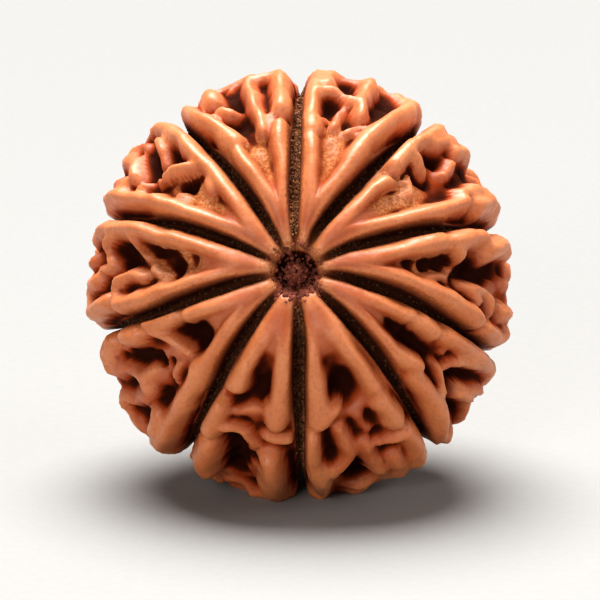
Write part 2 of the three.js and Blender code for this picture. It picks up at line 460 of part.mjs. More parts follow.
// Height of the surface over crest level at one place, in millimetres: nearly always below zero.
function relief(u, phi) {
  const place = crestPoint(u, phi);
  const um = u <= 90 ? u : 180 - u;
  const calm = smoothstep(16, 34, um);
  const wander = calm * WAVINESS * (1 + WAVIER * smoothstep(66, 88, u));
  const p = place.map((v, i) => v + wander * (noise(place, 0.75, 3 + i) + 0.2 * noise(place, 1.9, 6 + i)));

  let floor = -FLOOR_DEPTH * smoothstep(LOBE_TIP_START, LOBE_TIP_END, um) * (1 + 0.12 * noise(p, 0.8, 1));
  floor *= (TIP_FLOOR + (1 - TIP_FLOOR) * smoothstep(38, 54, um)) * (1 - BELT_RISE * smoothstep(60, 82, um));
  for (const [centre, r, depth] of pitList) {
    const d = distance(p, centre) / r;
    if (d < 1.5) floor -= depth * (1 - smoothstep(0.35, 1.5, d));
  }

  let top = 0;
  for (const ridge of ridgeLines) {
    if (p.some((v, i) => v < ridge.low[i] || v > ridge.high[i])) continue;
    const q = ridgeReach(p, ridge);
    const share = (1 - SKIRT_SHARE) * Math.max(0, 1 - (q / RIDGE_REACH) ** 2) ** 0.55
      + SKIRT_SHARE * Math.max(0, 1 - (q / SKIRT_REACH) ** 2) ** 2;
    const h = Math.max(0, (-(1 - ridge.level) * FLOOR_DEPTH - floor) * share);
    top = softMax(top, h, RIDGE_BLEND * Math.min(1, h / 0.3));
  }
  const ragged = u + BELT_RAGGED * noise(place, 0.42, 41);
  const belt = smoothstep(BELT[0] - BELT_FADE / 2, BELT[0] + BELT_FADE / 2, ragged)
    * (1 - smoothstep(BELT[1] - BELT_FADE / 2, BELT[1] + BELT_FADE / 2, ragged));
  let height = floor + top;
  if (belt > 0) height = height * (1 - belt) + belt * (BELT_LEVEL - hollowDepth(p));
  const swelling = SWELLING + (BELT_SWELLING - SWELLING) * belt;
  height += swelling * (noise(place, 0.55, 11) + 0.4 * noise(place, 1.6, 12)) * smoothstep(18, 40, um);

  const ring = EQUATOR_RADIUS * Math.sin(um * RAD);
  const depth = FURROW_DEPTH * smoothstep(5, 24, um) + 0.1;
  const halfWidth = lookUp(FURROW_HALF_WIDTH, um);
  const shoulder = FURROW_SHOULDER * (0.22 + 0.78 * smoothstep(50, 80, um));
  const lean = (TIP_ROUNDNESS * (1 - smoothstep(14, 34, um))) / (Math.PI / LOBES) ** 2;
  for (let k = 0; k < LOBES; k++) {
    const turn = ((((phi - furrowAngle(k, u) + 180) % 360) + 360) % 360) - 180;
    height -= lean * Math.max(0, Math.PI / LOBES - Math.abs(turn) * RAD) ** 2;
    const d = Math.abs(turn) * RAD * ring;
    if (d > 1.6 || Math.abs(turn) > 40) continue;
    const w = halfWidth * FURROW_WIDTH_FACTOR[k];
    height -= shoulder * Math.max(0, 1 - d / FURROW_SHOULDER_REACH) ** 2;
    const bottom = depth * FURROW_DEPTH_FACTOR[k];
    const wall = -bottom + (bottom + 0.6) * smoothstep(w * 0.6, w * 1.9, d);
    const both = Math.max(0, FURROW_EDGE_ROUNDING - Math.abs(height - wall));
    height = Math.min(height, wall) - (both * both) / (4 * FURROW_EDGE_ROUNDING);
  }

  height -= DIMPLE_DEPTH * (1 - smoothstep(1.2, DIMPLE_RADIUS, ring));
  const pit = PIT_DEPTH * (1 - smoothstep(0.75 * PIT_RADIUS, 1.3 * PIT_RADIUS, ring));
  if (u > 90) return height - 0.5 * pit;
  height -= pit;
  if (ring < KNOB_RADIUS) {
    const dome = Math.sqrt(1 - (ring / KNOB_RADIUS) ** 2);
    height += KNOB_HEIGHT * dome * (1 + KNOB_GRAIN * noise(place, 2.6, 21));
  }
  return height;
}

// Columns of one lobe as fractions of its width: close together at the furrow, even across the lobe.
function lobeFractions(k, u, count) {
  const um = u <= 90 ? u : 180 - u;
  const width = (furrowAngle(k + 1, u) - furrowAngle(k, u)) * RAD * EQUATOR_RADIUS * Math.sin(um * RAD);
  const wall = (1.1 * lookUp(FURROW_HALF_WIDTH, um)) / width;
  const side = (f) => Math.min(0.17, wall * FURROW_WIDTH_FACTOR[f % LOBES]);
  const near = side(k);
  const far = side(k + 1);
  const inner = count - 4;
  const out = [0, near, 1.85 * near];
  for (let i = 1; i < inner; i++) out.push(1.85 * near + ((1 - 1.85 * near - 1.85 * far) * i) / inner);
  out.push(1 - 1.85 * far, 1 - far);
  return out;
}

const tilt = AXIS_TILT * RAD;

// From the seed's own frame to the frame it lies in.
function lying(p) {
  return [p[0], p[1] * Math.sin(tilt) - p[2] * Math.cos(tilt), p[1] * Math.cos(tilt) + p[2] * Math.sin(tilt)];
}

// The relief is taken as the mean round the place, so that a column or row never lands on a lone spike.
function surfacePoint(u, phi, du = 0, dphi = 0) {
  const p = crestPoint(u, phi);
  const n = crestNormal(u, phi);
  let h = 0;
  for (const [i, wi] of [[-1, 0.25], [0, 0.5], [1, 0.25]]) {
    for (const [j, wj] of [[-1, 0.25], [0, 0.5], [1, 0.25]]) h += wi * wj * relief(u + i * du, phi + j * dphi);
  }
  return lying([p[0] + n[0] * h, p[1] + n[1] * h, p[2] + n[2] * h]);
}

const rowAngles = [...FIRST_ROWS];
const rowStep = (BODY_END - BODY_START) / (BODY_ROWS - 1);
for (let i = 0; i < BODY_ROWS; i++) rowAngles.push(BODY_START + rowStep * i);
rowAngles.push(...LAST_ROWS);
const lastFullRow = rowAngles.length - 1 - LAST_ROWS.length;

const vertices = [];
const rows = rowAngles.map((u, r) => {
  const ring = [];
  const full = r >= FIRST_FULL_ROW && r <= lastFullRow;
  for (let k = 0; k < LOBES; k++) {
    const fractions = full ? lobeFractions(k, u, COLUMNS_PER_LOBE)
      : Array.from({ length: CAP_COLUMNS_PER_LOBE }, (_, i) => i / CAP_COLUMNS_PER_LOBE);
    const [a, b] = [furrowAngle(k, u), furrowAngle(k + 1, u)];
    fractions.forEach((s, i) => {
      const inside = full && i > 2 && i < fractions.length - 2;
      const gap = inside ? (0.4 * (fractions[i + 1] - fractions[i - 1])) / 2 : 0;
      ring.push(vertices.length);
      vertices.push(surfacePoint(u, a + s * (b - a), full ? 0.35 * rowStep : 0, gap * (b - a)));
    });
  }
  return ring;
});
const nearPole = vertices.push(surfacePoint(0.02, 0)) - 1;
const farPole = vertices.push(surfacePoint(179.98, 0)) - 1;

// The lowest ridges are worn to the plane z = 0.
const settled = vertices.map(([x, y, z]) => [x + MIDDLE[0], y + MIDDLE[1], Math.max(z + MIDDLE[2], 0)]);

const faces = [];
// Joins two rings; where one has more columns than the other, its extra columns share one corner.
function joinRings(a, b) {
  const steps = Math.max(a.length, b.length);
  const at = (ring, i) => ring[Math.round((i * ring.length) / steps - 1e-9) % ring.length];
  for (let i = 0; i < steps; i++) {
    const [p, q, r, s] = [at(a, i), at(a, i + 1), at(b, i + 1), at(b, i)];
    if (p !== q && s !== r) {
      const flip = distance(vertices[p], vertices[r]) > distance(vertices[q], vertices[s]);
      if (flip) faces.push([p, q, s], [q, r, s]);
      else faces.push([p, r, s], [p, q, r]);
    } else if (p !== q) faces.push([p, q, s]);
    else if (s !== r) faces.push([p, r, s]);
  }
}
for (let r = 0; r + 1 < rows.length; r++) joinRings(rows[r], rows[r + 1]);
const first = rows[0];
const last = rows[rows.length - 1];
for (let i = 0; i < first.length; i++) faces.push([nearPole, first[(i + 1) % first.length], first[i]]);
for (let i = 0; i < last.length; i++) faces.push([farPole, last[i], last[(i + 1) % last.length]]);

const geometry = new THREE.BufferGeometry();
geometry.setAttribute("position", new THREE.Float32BufferAttribute(settled.flat(), 3));
geometry.setIndex(faces.flat());
geometry.computeVertexNormals();

const shell = new THREE.MeshStandardMaterial({ color: 0xb4582f, roughness: 0.5, metalness: 0 });
shell.name = "seed_stone";

const stone = new THREE.Mesh(geometry, shell);
stone.name = "stone";

const group = new THREE.Group();
group.name = "rudraksha_seed";
group.add(stone);

export default group;
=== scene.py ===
"""A rudraksha seed: the furrowed, ridge-patterned stone of an Elaeocarpus fruit, lying on its side.

Everything here is worked out in millimetres and degrees in the seed's own frame: x right and y up as the
stalk end is looked at, and z along the axis towards the looker. It is laid down and turned to metres when
a mesh is made.
"""
import logging
import math
from collections.abc import Iterator
from dataclasses import dataclass, field
from enum import Enum
from typing import Any

import bpy
import numpy as np
from mathutils import Matrix, Vector

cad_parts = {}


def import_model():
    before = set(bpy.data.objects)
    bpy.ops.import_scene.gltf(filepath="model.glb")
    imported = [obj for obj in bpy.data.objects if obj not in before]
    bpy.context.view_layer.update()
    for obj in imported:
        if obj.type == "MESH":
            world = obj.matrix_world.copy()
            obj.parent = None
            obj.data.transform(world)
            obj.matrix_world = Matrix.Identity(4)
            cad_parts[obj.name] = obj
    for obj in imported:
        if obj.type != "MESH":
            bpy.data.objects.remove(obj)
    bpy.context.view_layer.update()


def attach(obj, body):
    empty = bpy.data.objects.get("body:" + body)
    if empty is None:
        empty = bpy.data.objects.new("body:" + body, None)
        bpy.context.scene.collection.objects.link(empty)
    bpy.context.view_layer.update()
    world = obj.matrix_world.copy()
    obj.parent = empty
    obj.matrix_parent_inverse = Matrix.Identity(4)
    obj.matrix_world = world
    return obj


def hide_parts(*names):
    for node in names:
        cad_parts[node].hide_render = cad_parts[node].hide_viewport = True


log = logging.getLogger("rudraksha")
MM = 0.001
Array = np.ndarray
Line = list[list[float]]
Range = tuple[float, float]
Socket = bpy.types.NodeSocket
Tree = bpy.types.NodeTree

# Clock angle of each furrow at angles from the stalk pole, in degrees.
FURROW_LINES: list[Line] = [
    [[15, -2.5], [30, -1.2], [50, -0.5], [75, 0]],
    [[12, 27], [20, 31], [30, 34], [45, 36], [60, 37], [80, 38]],
    [[15, 65], [20, 67], [30, 69], [50, 71.5], [60, 72.5], [75, 74]],
    [[12, 96], [20, 99], [30, 101], [40, 104], [50, 106], [60, 107.5], [75, 109]],
    [[15, 131], [30, 133.5], [40, 135.5], [50, 137], [60, 138], [80, 140]],
    [[15, 176.5], [30, 178.5], [50, 178.6], [70, 179]],
    [[15, 221], [20, 220], [30, 218.5], [40, 216], [55, 215], [75, 214.5]],
    [[15, 259], [20, 258], [30, 256.5], [45, 255.2], [60, 256], [80, 256.5]],
    [[15, 294], [20, 293.7], [30, 293], [40, 292], [50, 290.5], [60, 289.5], [80, 288.5]],
    [[15, 328.5], [25, 328], [38, 326], [50, 324.5], [62, 323], [80, 322.5]],
]

# Half width of a furrow's floor in millimetres at angles from the nearer pole, before its own factor.
FURROW_HALF_WIDTH: Line = [[10, 0.25], [20, 0.33], [32, 0.34], [40, 0.33], [50, 0.26], [60, 0.25], [90, 0.24]]

# Ridges of the near half, lobe by lobe: lobe, half width at the start and at the end in millimetres,
# level (1 is a full crest, 0 the floor), and the line as [degrees from the stalk pole, clock angle].
RIDGES: list[tuple[int, float, float, float, Line]] = [
    (0, 0.5, 0.6, 1, [[13, 10], [20, 8.5], [30, 6], [37.5, 5]]),
    (0, 0.75, 0.75, 1.08, [[42, 5], [45, 5]]),
    (0, 0.6, 0.7, 0.96, [[47, 4.5], [57.5, 4], [69, 4], [86, 4]]),
    (0, 0.45, 0.45, 0.9, [[61.6, 3.9], [63.8, 9.9], [61.6, 13.9], [58.4, 17.9]]),
    (0, 0.75, 0.8, 0.95, [[68.7, 8], [83.4, 9.3], [88, 10]]),
    (0, 0.5, 0.7, 1, [[52, 21], [62, 19.5], [74, 19], [86, 19]]),
    (0, 0.24, 0.3, 0.75, [[57.1, 14.3], [50.1, 13.9], [44.4, 12.9]]),
    (0, 0.3, 0.3, 0.7, [[48.7, 24.3], [46.4, 20.3], [43.6, 18.4]]),
    (0, 0.28, 0.28, 0.6, [[44.7, 22.8], [43, 19.8]]),
    (0, 0.5, 0.92, 1, [[14, 19], [20, 21.5], [29, 25.5], [37, 27], [45, 27.2], [52, 28.5], [60, 31],
        [72, 33], [86, 33.5]]),
    (0, 0.3, 0.3, 0.45, [[39.3, 13.8], [37.7, 11.3]]),
    (0, 0.4, 0.35, 0.7, [[44.7, 5.9], [48.2, 9.4]]),
    (0, 0.5, 0.55, 0.8, [[82, 10.8], [83.6, 14.8], [80, 17.7]]),
    (1, 0.42, 0.45, 1, [[13, 42], [20, 43], [27, 42.5], [31, 42]]),
    (1, 0.45, 0.6, 0.97, [[32, 42.5], [35.5, 43.5]]),
    (1, 0.5, 0.35, 0.85, [[36, 43.4], [37, 46.4]]),
    (1, 0.7, 0.7, 1.02, [[42.5, 41.2], [48, 40.8], [53, 40.8]]),
    (1, 0.5, 0.38, 0.92, [[49.7, 42.9], [50.7, 46.9], [51.2, 50.4]]),
    (1, 0.6, 0.81, 0.97, [[57, 41.5], [65, 41.8], [84, 42]]),
    (1, 0.5, 0.65, 0.88, [[63.9, 45.3], [79.2, 46.6], [86, 47]]),
    (1, 0.6, 0.75, 0.95, [[73.4, 50.4], [85.6, 51.6], [88, 52]]),
    (1, 0.55, 0.45, 0.9, [[66.8, 52.3], [62.5, 54.4]]),
    (1, 0.24, 0.26, 0.75, [[44.9, 48.3], [42.1, 51.3], [40, 54.8]]),
    (1, 0.22, 0.2, 0.65, [[42.6, 50.7], [41, 48.2]]),
    (1, 0.3, 0.3, 0.55, [[59.4, 53.4], [59.4, 54.4]]),
    (1, 0.45, 0.7, 1, [[14, 53], [20, 58.5], [30, 63], [40, 65], [50, 65.5], [58.5, 66]]),
    (1, 0.75, 0.92, 1.02, [[66, 68], [76, 68], [88, 68]]),
    (1, 0.6, 0.6, 0.85, [[59.9, 62.8], [71.3, 63.2], [82, 64.5]]),
    (2, 0.45, 0.72, 1, [[13, 81], [20, 80], [30, 78], [38, 77], [43, 77.2]]),
    (2, 0.7, 0.72, 1.04, [[47, 78], [54, 76.8], [63, 76.8]]),
    (2, 0.55, 0.4, 0.9, [[48.7, 79.9], [51.3, 83.4]]),
    (2, 0.75, 0.92, 0.98, [[66, 81.5], [75, 79.5], [88, 78.5]]),
    (2, 0.2, 0.24, 0.6, [[36.2, 89.7], [40.4, 90.2], [44.3, 89.7]]),
    (2, 0.35, 0.42, 0.85, [[51.2, 92.3], [59.7, 92.3], [67.4, 94.3], [69, 98.3]]),
    (2, 0.35, 0.35, 0.75, [[54.2, 94.2], [60.9, 96.7]]),
    (2, 0.7, 0.75, 0.95, [[77.5, 96.9], [88, 98.5]]),
    (2, 0.5, 0.78, 1.03, [[13, 88], [20, 91.5], [30, 93.5], [40, 97], [50, 99.6], [60, 102.5]]),
    (2, 0.8, 0.87, 0.98, [[68, 104], [80, 105], [88, 105]]),
    (2, 0.5, 0.54, 0.6, [[82, 89.5], [88, 89]]),
    (3, 0.45, 0.55, 1, [[13, 110], [20, 109.5], [26, 110], [33.5, 111]]),
    (3, 0.7, 0.72, 1.06, [[38.5, 111.7], [43, 112.6]]),
    (3, 0.75, 0.97, 1, [[49, 111.3], [56, 111.4], [63, 112], [72, 112.5], [88, 113]]),
    (3, 0.38, 0.45, 0.8, [[54.7, 120.8], [56.9, 117.8], [64.6, 116.3], [74, 115.5], [90, 115.5]]),
    (3, 0.24, 0.24, 0.5, [[50.7, 116.6], [51.4, 117.1]]),
    (3, 0.4, 0.49, 0.85, [[68.3, 122.4], [80.6, 120.7], [88, 120]]),
    (3, 0.48, 0.65, 1, [[13, 123], [20, 124.8], [28, 126.8], [35, 127.6], [41, 126.8]]),
    (3, 0.65, 0.65, 1.05, [[42, 126], [43.5, 125.6]]),
    (3, 0.7, 0.87, 1, [[46, 129.5], [53, 131.5], [60, 131.5], [68, 133.3], [78, 135.5], [88, 136.5]]),
    (3, 0.35, 0.4, 0.68, [[50.1, 121.8], [54.7, 124.8], [61.5, 126.8]]),
    (3, 0.4, 0.43, 0.85, [[70.5, 125.4], [86, 124.7], [88, 127]]),
    (3, 0.4, 0.43, 0.85, [[88, 127], [90, 130.7]]),
    (4, 0.5, 0.62, 1, [[13, 149], [20, 147.3], [30, 144.6], [38.5, 144.8]]),
    (4, 0.7, 0.88, 1.02, [[43.8, 145.6], [49, 145.5], [54.5, 145.2]]),
    (4, 0.8, 0.95, 1, [[62, 143.8], [70, 143.8], [84, 145]]),
    (4, 0.42, 0.46, 0.92, [[58.8, 153], [61.4, 149.5], [62.4, 147]]),
    (4, 0.6, 0.75, 0.92, [[69.8, 150.5], [78, 150.5], [86, 152.5]]),
    (4, 0.5, 0.85, 1, [[13, 167], [20, 170.3], [30, 170.6], [38, 170], [43, 170]]),
    (4, 0.5, 0.4, 0.88, [[41.9, 166], [39.6, 162]]),
    (4, 0.45, 0.5, 0.5, [[45.1, 156.4], [53.7, 153.9]]),
    (4, 0.55, 0.95, 1, [[49, 174.3], [54, 174.6], [60, 174.4], [68, 174.2], [80, 174], [93, 174]]),
    (4, 0.42, 0.52, 0.88, [[47.7, 164.3], [54, 162.8], [61.3, 164.2], [68.2, 168.5]]),
    (4, 0.5, 0.6, 0.72, [[57.6, 157.5], [66.6, 157], [78, 156.2], [90, 156.9]]),
    (5, 0.5, 0.8, 1, [[13, 190.5], [20, 187], [30, 187], [38, 187.4], [44, 188]]),
    (5, 0.5, 0.4, 0.85, [[40.5, 191], [38.4, 192.4]]),
    (5, 0.5, 0.66, 1, [[13, 204], [20, 207], [27, 208.8], [35.5, 209]]),
    (5, 0.72, 0.88, 1.05, [[43.5, 210.3], [49, 210], [54.5, 210.2]]),
    (5, 0.35, 0.42, 0.5, [[40.6, 193.2], [41.7, 199.2], [44, 204.2]]),
    (5, 0.5, 0.34, 0.9, [[50.2, 205.6], [48.9, 201.1], [50.7, 197.1], [55.4, 194]]),
    (5, 0.45, 0.5, 0.88, [[50.3, 191.1], [51.4, 186], [51.9, 183]]),
    (5, 0.8, 1.2, 1, [[60, 188.8], [66, 187.8], [75, 187.4], [93, 186.4]]),
    (5, 1, 1.25, 1.02, [[62.5, 208.4], [70, 208], [81, 207.6]]),
    (6, 0.48, 0.6, 1, [[13, 232.5], [20, 230], [30, 226.3], [34, 225.5]]),
    (6, 0.8, 0.75, 1.04, [[36.5, 225.3], [40, 224]]),
    (6, 0.7, 0.81, 1, [[43, 222.8], [50, 222], [57, 222], [64, 221.3], [72, 220], [88, 219]]),
    (6, 0.7, 0.75, 0.95, [[66.8, 226.6], [73.1, 224.6], [86, 223]]),
    (6, 0.48, 0.58, 1.02, [[13, 243.5], [20, 246.6], [27, 248.6], [32, 248.8]]),
    (6, 0.65, 0.6, 0.96, [[47, 252], [42, 251], [37.5, 250.5]]),
    (6, 0.42, 0.38, 0.75, [[47.5, 249.2], [43.1, 245.2], [39.4, 239.2], [38.3, 234.2]]),
    (6, 0.78, 0.92, 1.05, [[53, 250.2], [60.5, 250.8]]),
    (6, 0.26, 0.28, 0.7, [[43.8, 232.2], [47.2, 231.8], [49.5, 228.8]]),
    (6, 0.6, 0.7, 0.5, [[56.8, 238.6], [63, 236.6], [64, 232.6]]),
    (6, 0.5, 0.42, 0.87, [[75.5, 252.6], [86, 249], [81.1, 244.4], [70.5, 241.7], [63.8, 240.2]]),
    (6, 0.4, 0.4, 0.8, [[86, 240], [82, 236.5], [74.4, 233.9], [67, 232.3]]),
    (6, 0.6, 0.65, 0.9, [[86, 236], [90, 231]]),
    (6, 0.6, 0.65, 0.9, [[86, 229.4], [90, 228]]),
    (7, 0.42, 0.75, 1, [[13, 266.8], [20, 265.3], [30, 263.2], [40, 262.4], [50, 261.5], [58, 261.5]]),
    (7, 0.42, 0.36, 0.9, [[59.2, 264.1], [61.4, 267.1], [57.7, 269.6], [50.9, 270.6], [47.2, 268.9]]),
    (7, 0.4, 0.4, 0.6, [[56.1, 267.5], [58.6, 268]]),
    (7, 0.24, 0.22, 0.66, [[44.2, 272.3], [40.3, 269.8]]),
    (7, 0.45, 0.45, 0.4, [[39.2, 268.5], [37.1, 268.5]]),
    (7, 0.42, 0.81, 1, [[13, 279], [20, 283.3], [30, 285.3], [40, 284.6], [50, 286], [60, 285.8],
        [70, 285.3], [88, 284]]),
    (7, 0.32, 0.28, 0.7, [[56.3, 283.3], [51.6, 279.8], [47.4, 276.8]]),
    (7, 0.36, 0.36, 0.8, [[65.3, 283.3], [69.6, 280.3], [68.9, 277.3], [65.2, 274.8]]),
    (7, 0.35, 0.35, 0.75, [[67.3, 272.4], [72.7, 273.5]]),
    (7, 0.65, 0.7, 0.95, [[73.4, 270.1], [86.1, 270.3], [88, 267]]),
    (7, 0.8, 0.87, 1, [[67, 263], [76, 262.5], [88, 263]]),
    (7, 0.5, 0.54, 0.8, [[82, 276.4], [88, 277]]),
    (8, 0.42, 0.87, 1, [[13, 301], [17, 302.5], [25, 300.5], [33, 299], [41, 297], [48, 296.8],
        [56, 295.5], [66, 294.5], [88, 293]]),
    (8, 0.42, 0.81, 1, [[13, 314], [20, 318], [30, 319], [40, 319.6], [50, 319.6], [60, 319.6],
        [70, 319.4], [88, 319]]),
    (8, 0.55, 0.5, 0.85, [[35.6, 316.1], [33, 313.9]]),
    (8, 0.6, 0.5, 0.95, [[43.3, 316], [45.8, 312.5], [48.9, 310]]),
    (8, 0.5, 0.42, 0.9, [[49.3, 310.1], [50.9, 306.6]]),
    (8, 0.5, 0.48, 0.92, [[70, 314.1], [63.4, 312.6], [59.1, 310.6]]),
    (8, 0.5, 0.5, 0.75, [[69.5, 317.2], [61.8, 316.2]]),
    (8, 0.42, 0.42, 0.55, [[40.9, 303.7], [38.3, 303.2]]),
    (8, 0.24, 0.24, 0.6, [[54.7, 304.8], [51.4, 303.3]]),
    (8, 0.4, 0.36, 0.7, [[61.3, 299.8], [57.7, 301]]),
    (8, 0.75, 0.87, 0.95, [[66, 302.6], [72.5, 304.1], [86, 306]]),
    (8, 0.6, 0.6, 0.85, [[69.3, 298.2], [82, 299.3]]),
    (8, 0.5, 0.59, 0.95, [[76.2, 311.1], [86, 309.5]]),
    (8, 0.55, 0.65, 1, [[82, 316], [90, 316]]),
    (8, 0.3, 0.3, 0.75, [[76, 309.3], [69.3, 305.8]]),
    (9, 0.45, 0.52, 1, [[13, 343], [20, 338.5], [30, 335.3], [38, 333.3]]),
    (9, 0.66, 0.76, 1.03, [[42, 333.8], [48, 331.6], [55, 329.2], [62, 327.2], [72, 326], [86, 325.4]]),
    (9, 0.48, 0.6, 1, [[13, 350.5], [20, 351.8], [30, 352.2], [38, 352.6], [43.5, 353]]),
    (9, 0.7, 0.87, 1, [[50, 354], [58, 354.3], [68, 354.4], [88, 355]]),
    (9, 0.48, 0.67, 0.98, [[42, 346], [48, 346], [56, 345], [66, 345.5], [86, 346]]),
    (9, 0.66, 0.62, 1, [[55, 337], [58, 334.5]]),
    (9, 0.42, 0.5, 0.85, [[78, 338.1], [83, 340], [86, 340]]),
    (9, 0.72, 0.78, 0.97, [[68, 334], [78, 333], [88, 333]]),
    (9, 0.25, 0.25, 0.4, [[45.4, 341], [40.6, 342.5]]),
    (9, 0.4, 0.4, 0.75, [[47.9, 350], [44.4, 349]]),
    (9, 0.55, 0.6, 0.95, [[75.1, 344.5], [77.1, 349.5], [75.1, 354.5]]),
    (9, 0.5, 0.5, 0.85, [[82, 333.6], [83, 338.5], [81, 344]]),
]

# Pits between the ridges: lobe, degrees from the stalk pole, clock angle, radius and depth.
PITS: list[tuple[int, float, float, float, float]] = [
    (0, 57, 10.6, 0.45, 1), (0, 61, 16.1, 0.45, 0.6), (0, 49, 16.5, 0.35, 0.4), (0, 64, 23.1, 0.35, 0.4),
    (1, 51, 51.2, 0.6, 0.5), (1, 63, 49.3, 0.6, 0.8), (1, 43.8, 48.7, 0.45, 0.6),
    (1, 36.4, 47.2, 0.45, 0.4), (1, 64, 57.3, 0.5, 0.6), (1, 76, 55.5, 0.4, 0.4), (2, 31.6, 83.6, 0.5, 0.5),
    (2, 37.9, 85, 0.6, 0.8), (2, 43.4, 84.5, 0.6, 0.9), (2, 48.1, 83.1, 0.45, 0.7),
    (2, 42.7, 92.3, 0.3, 0.4), (2, 50.5, 91.1, 0.4, 0.7), (2, 54, 87.6, 0.5, 0.7), (2, 59, 86.6, 0.7, 1),
    (2, 65, 85.7, 0.7, 1), (2, 71, 86.8, 0.75, 0.9), (2, 76, 85.4, 0.55, 0.6), (2, 63, 95.3, 0.3, 0.4),
    (3, 30.7, 115.8, 0.65, 0.5), (3, 35.1, 117.3, 0.78, 0.7), (3, 40.8, 118.3, 0.85, 1),
    (3, 46.9, 119.9, 0.4, 0.7), (3, 50, 123.4, 0.4, 0.6), (3, 56, 126, 0.3, 0.4),
    (4, 26.3, 158.9, 0.59, 0.4), (4, 32, 157.4, 0.78, 0.7), (4, 37.1, 157.9, 0.91, 1),
    (4, 53.5, 168.1, 0.35, 0.6), (4, 49.2, 160.9, 0.4, 0.4), (5, 25.1, 198.4, 0.52, 0.4),
    (5, 30.2, 198, 0.72, 0.6), (5, 35.9, 197.1, 0.85, 0.9), (5, 40.3, 205.6, 0.65, 0.8),
    (5, 65.5, 211.6, 0.3, 0.5), (6, 30.9, 238.9, 0.72, 0.5), (6, 35.1, 238.5, 1.04, 0.9),
    (6, 37.5, 241.4, 0.72, 0.6), (6, 47, 235.3, 0.35, 0.6), (6, 51.2, 230.3, 0.3, 0.4),
    (6, 59, 228.8, 0.35, 0.5), (6, 75.5, 240.1, 0.5, 0.7), (6, 76, 230.6, 0.5, 0.6),
    (7, 29.2, 275.8, 0.52, 0.4), (7, 34.6, 273.5, 0.65, 0.7), (7, 39.1, 277.8, 0.85, 0.6),
    (7, 45.1, 280.3, 0.65, 0.6), (7, 50.5, 283.3, 0.5, 0.7), (7, 61, 276.8, 0.75, 1),
    (7, 64, 282.2, 0.5, 0.8), (7, 57, 274.3, 0.45, 0.7), (7, 67, 278.1, 0.45, 0.5),
    (7, 53, 267.2, 0.35, 0.6), (8, 58, 314.9, 0.5, 0.8), (8, 64, 306.5, 0.7, 1), (8, 44.2, 313.5, 0.6, 0.6),
    (8, 41.5, 308.5, 0.6, 0.5), (8, 69, 309.4, 0.4, 0.5), (9, 57, 338.1, 0.5, 0.7),
    (9, 55, 349.4, 0.35, 0.8), (9, 66, 340.5, 0.5, 0.5), (9, 68, 349.4, 0.35, 0.4),
    (9, 61, 341.5, 0.45, 0.4), (4, 60, 168.4, 0.6, 1.3), (4, 71.5, 163.5, 0.65, 1.1),
    (4, 79, 164, 0.75, 1.2), (4, 86, 161.5, 0.6, 0.8), (4, 70, 150.1, 0.42, 0.9),
    (4, 49.5, 151.2, 0.6, 1.4), (4, 58, 151.6, 0.55, 1), (4, 66, 168.9, 0.4, 0.7),
    (5, 59.5, 201.4, 0.75, 1.5), (5, 64.5, 200, 0.6, 0.9), (5, 66, 194.9, 0.5, 1.2),
    (5, 72, 198.9, 0.75, 1.3), (5, 80, 198.8, 0.75, 1), (5, 61.5, 187.9, 0.5, 1),
    (5, 48.7, 200.1, 0.5, 0.9), (5, 52, 194.1, 0.42, 1), (6, 52.5, 239.5, 0.5, 1.1),
    (6, 57.5, 241.5, 0.65, 1.3), (6, 63, 243.8, 0.6, 1.2), (6, 68, 244.7, 0.5, 1),
    (6, 72, 247.7, 0.35, 0.6), (3, 62.5, 123.2, 0.6, 1.2), (3, 66, 120.9, 0.7, 1.4),
    (3, 72, 120, 0.65, 1.3), (3, 78, 119.1, 0.5, 0.9), (3, 74, 128.1, 0.5, 1.1), (3, 80, 128.1, 0.5, 0.9),
]


class Grain(Enum):
    """The two kinds of crumb that lie on the stone."""

    KNOB = "knob"
    FURROW = "furrow"


def smoothstep(low: float, high: float, x: Array) -> Array:
    """Rises softly from 0 at low to 1 at high."""
    t = np.clip((x - low) / (high - low), 0.0, 1.0)
    return t * t * (3.0 - 2.0 * t)


def lattice(x: Array, y: Array, z: Array) -> Array:
    """A number from -1 to 1 for each whole-numbered place, always the same for the same place."""
    with np.errstate(over="ignore"):
        h = (x.astype(np.uint32) * np.uint32(374761393) + y.astype(np.uint32) * np.uint32(668265263)
             + z.astype(np.uint32) * np.uint32(1274126177))
        h = (h ^ (h >> np.uint32(13))) * np.uint32(1274126177)
        h = h ^ (h >> np.uint32(16))
    return (h & np.uint32(0xFFFF)).astype(float) / 32767.5 - 1.0


def noise(points: Array, frequency: float, seed: int) -> Array:
    """Smooth three-way noise from -1 to 1.

    Args:
        points: places in millimetres, one a row.
        frequency: lattice cells in a millimetre.
        seed: moves the lattice, so that each use is its own pattern.

    Returns:
        One value for each place.
    """
    q = points * frequency + seed * 17.13
    base = np.floor(q).astype(np.int64)
    part = q - base
    part = part * part * (3.0 - 2.0 * part)
    total = np.zeros(len(points))
    for corner in range(8):
        step = np.array([corner & 1, (corner >> 1) & 1, (corner >> 2) & 1])
        weight = np.prod(np.where(step == 1, part, 1.0 - part), axis=1)
        total += weight * lattice(*(base + step).T)
    return total


def pick(n: int, low: float, high: float) -> float:
    """A seeded number from low to high for the n-th thing."""
    return low + (high - low) * 0.5 * (1.0 + float(lattice(np.array([n]), np.array([71]), np.array([13]))[0]))


def soft_max(a: Array, b: Array, blend: Any) -> Array:
    """Joins two heights softly where they are nearly the same."""
    both = np.maximum(0, blend - np.abs(a - b))
    return np.maximum(a, b) + both * both / (4 * np.maximum(blend, 1e-6))


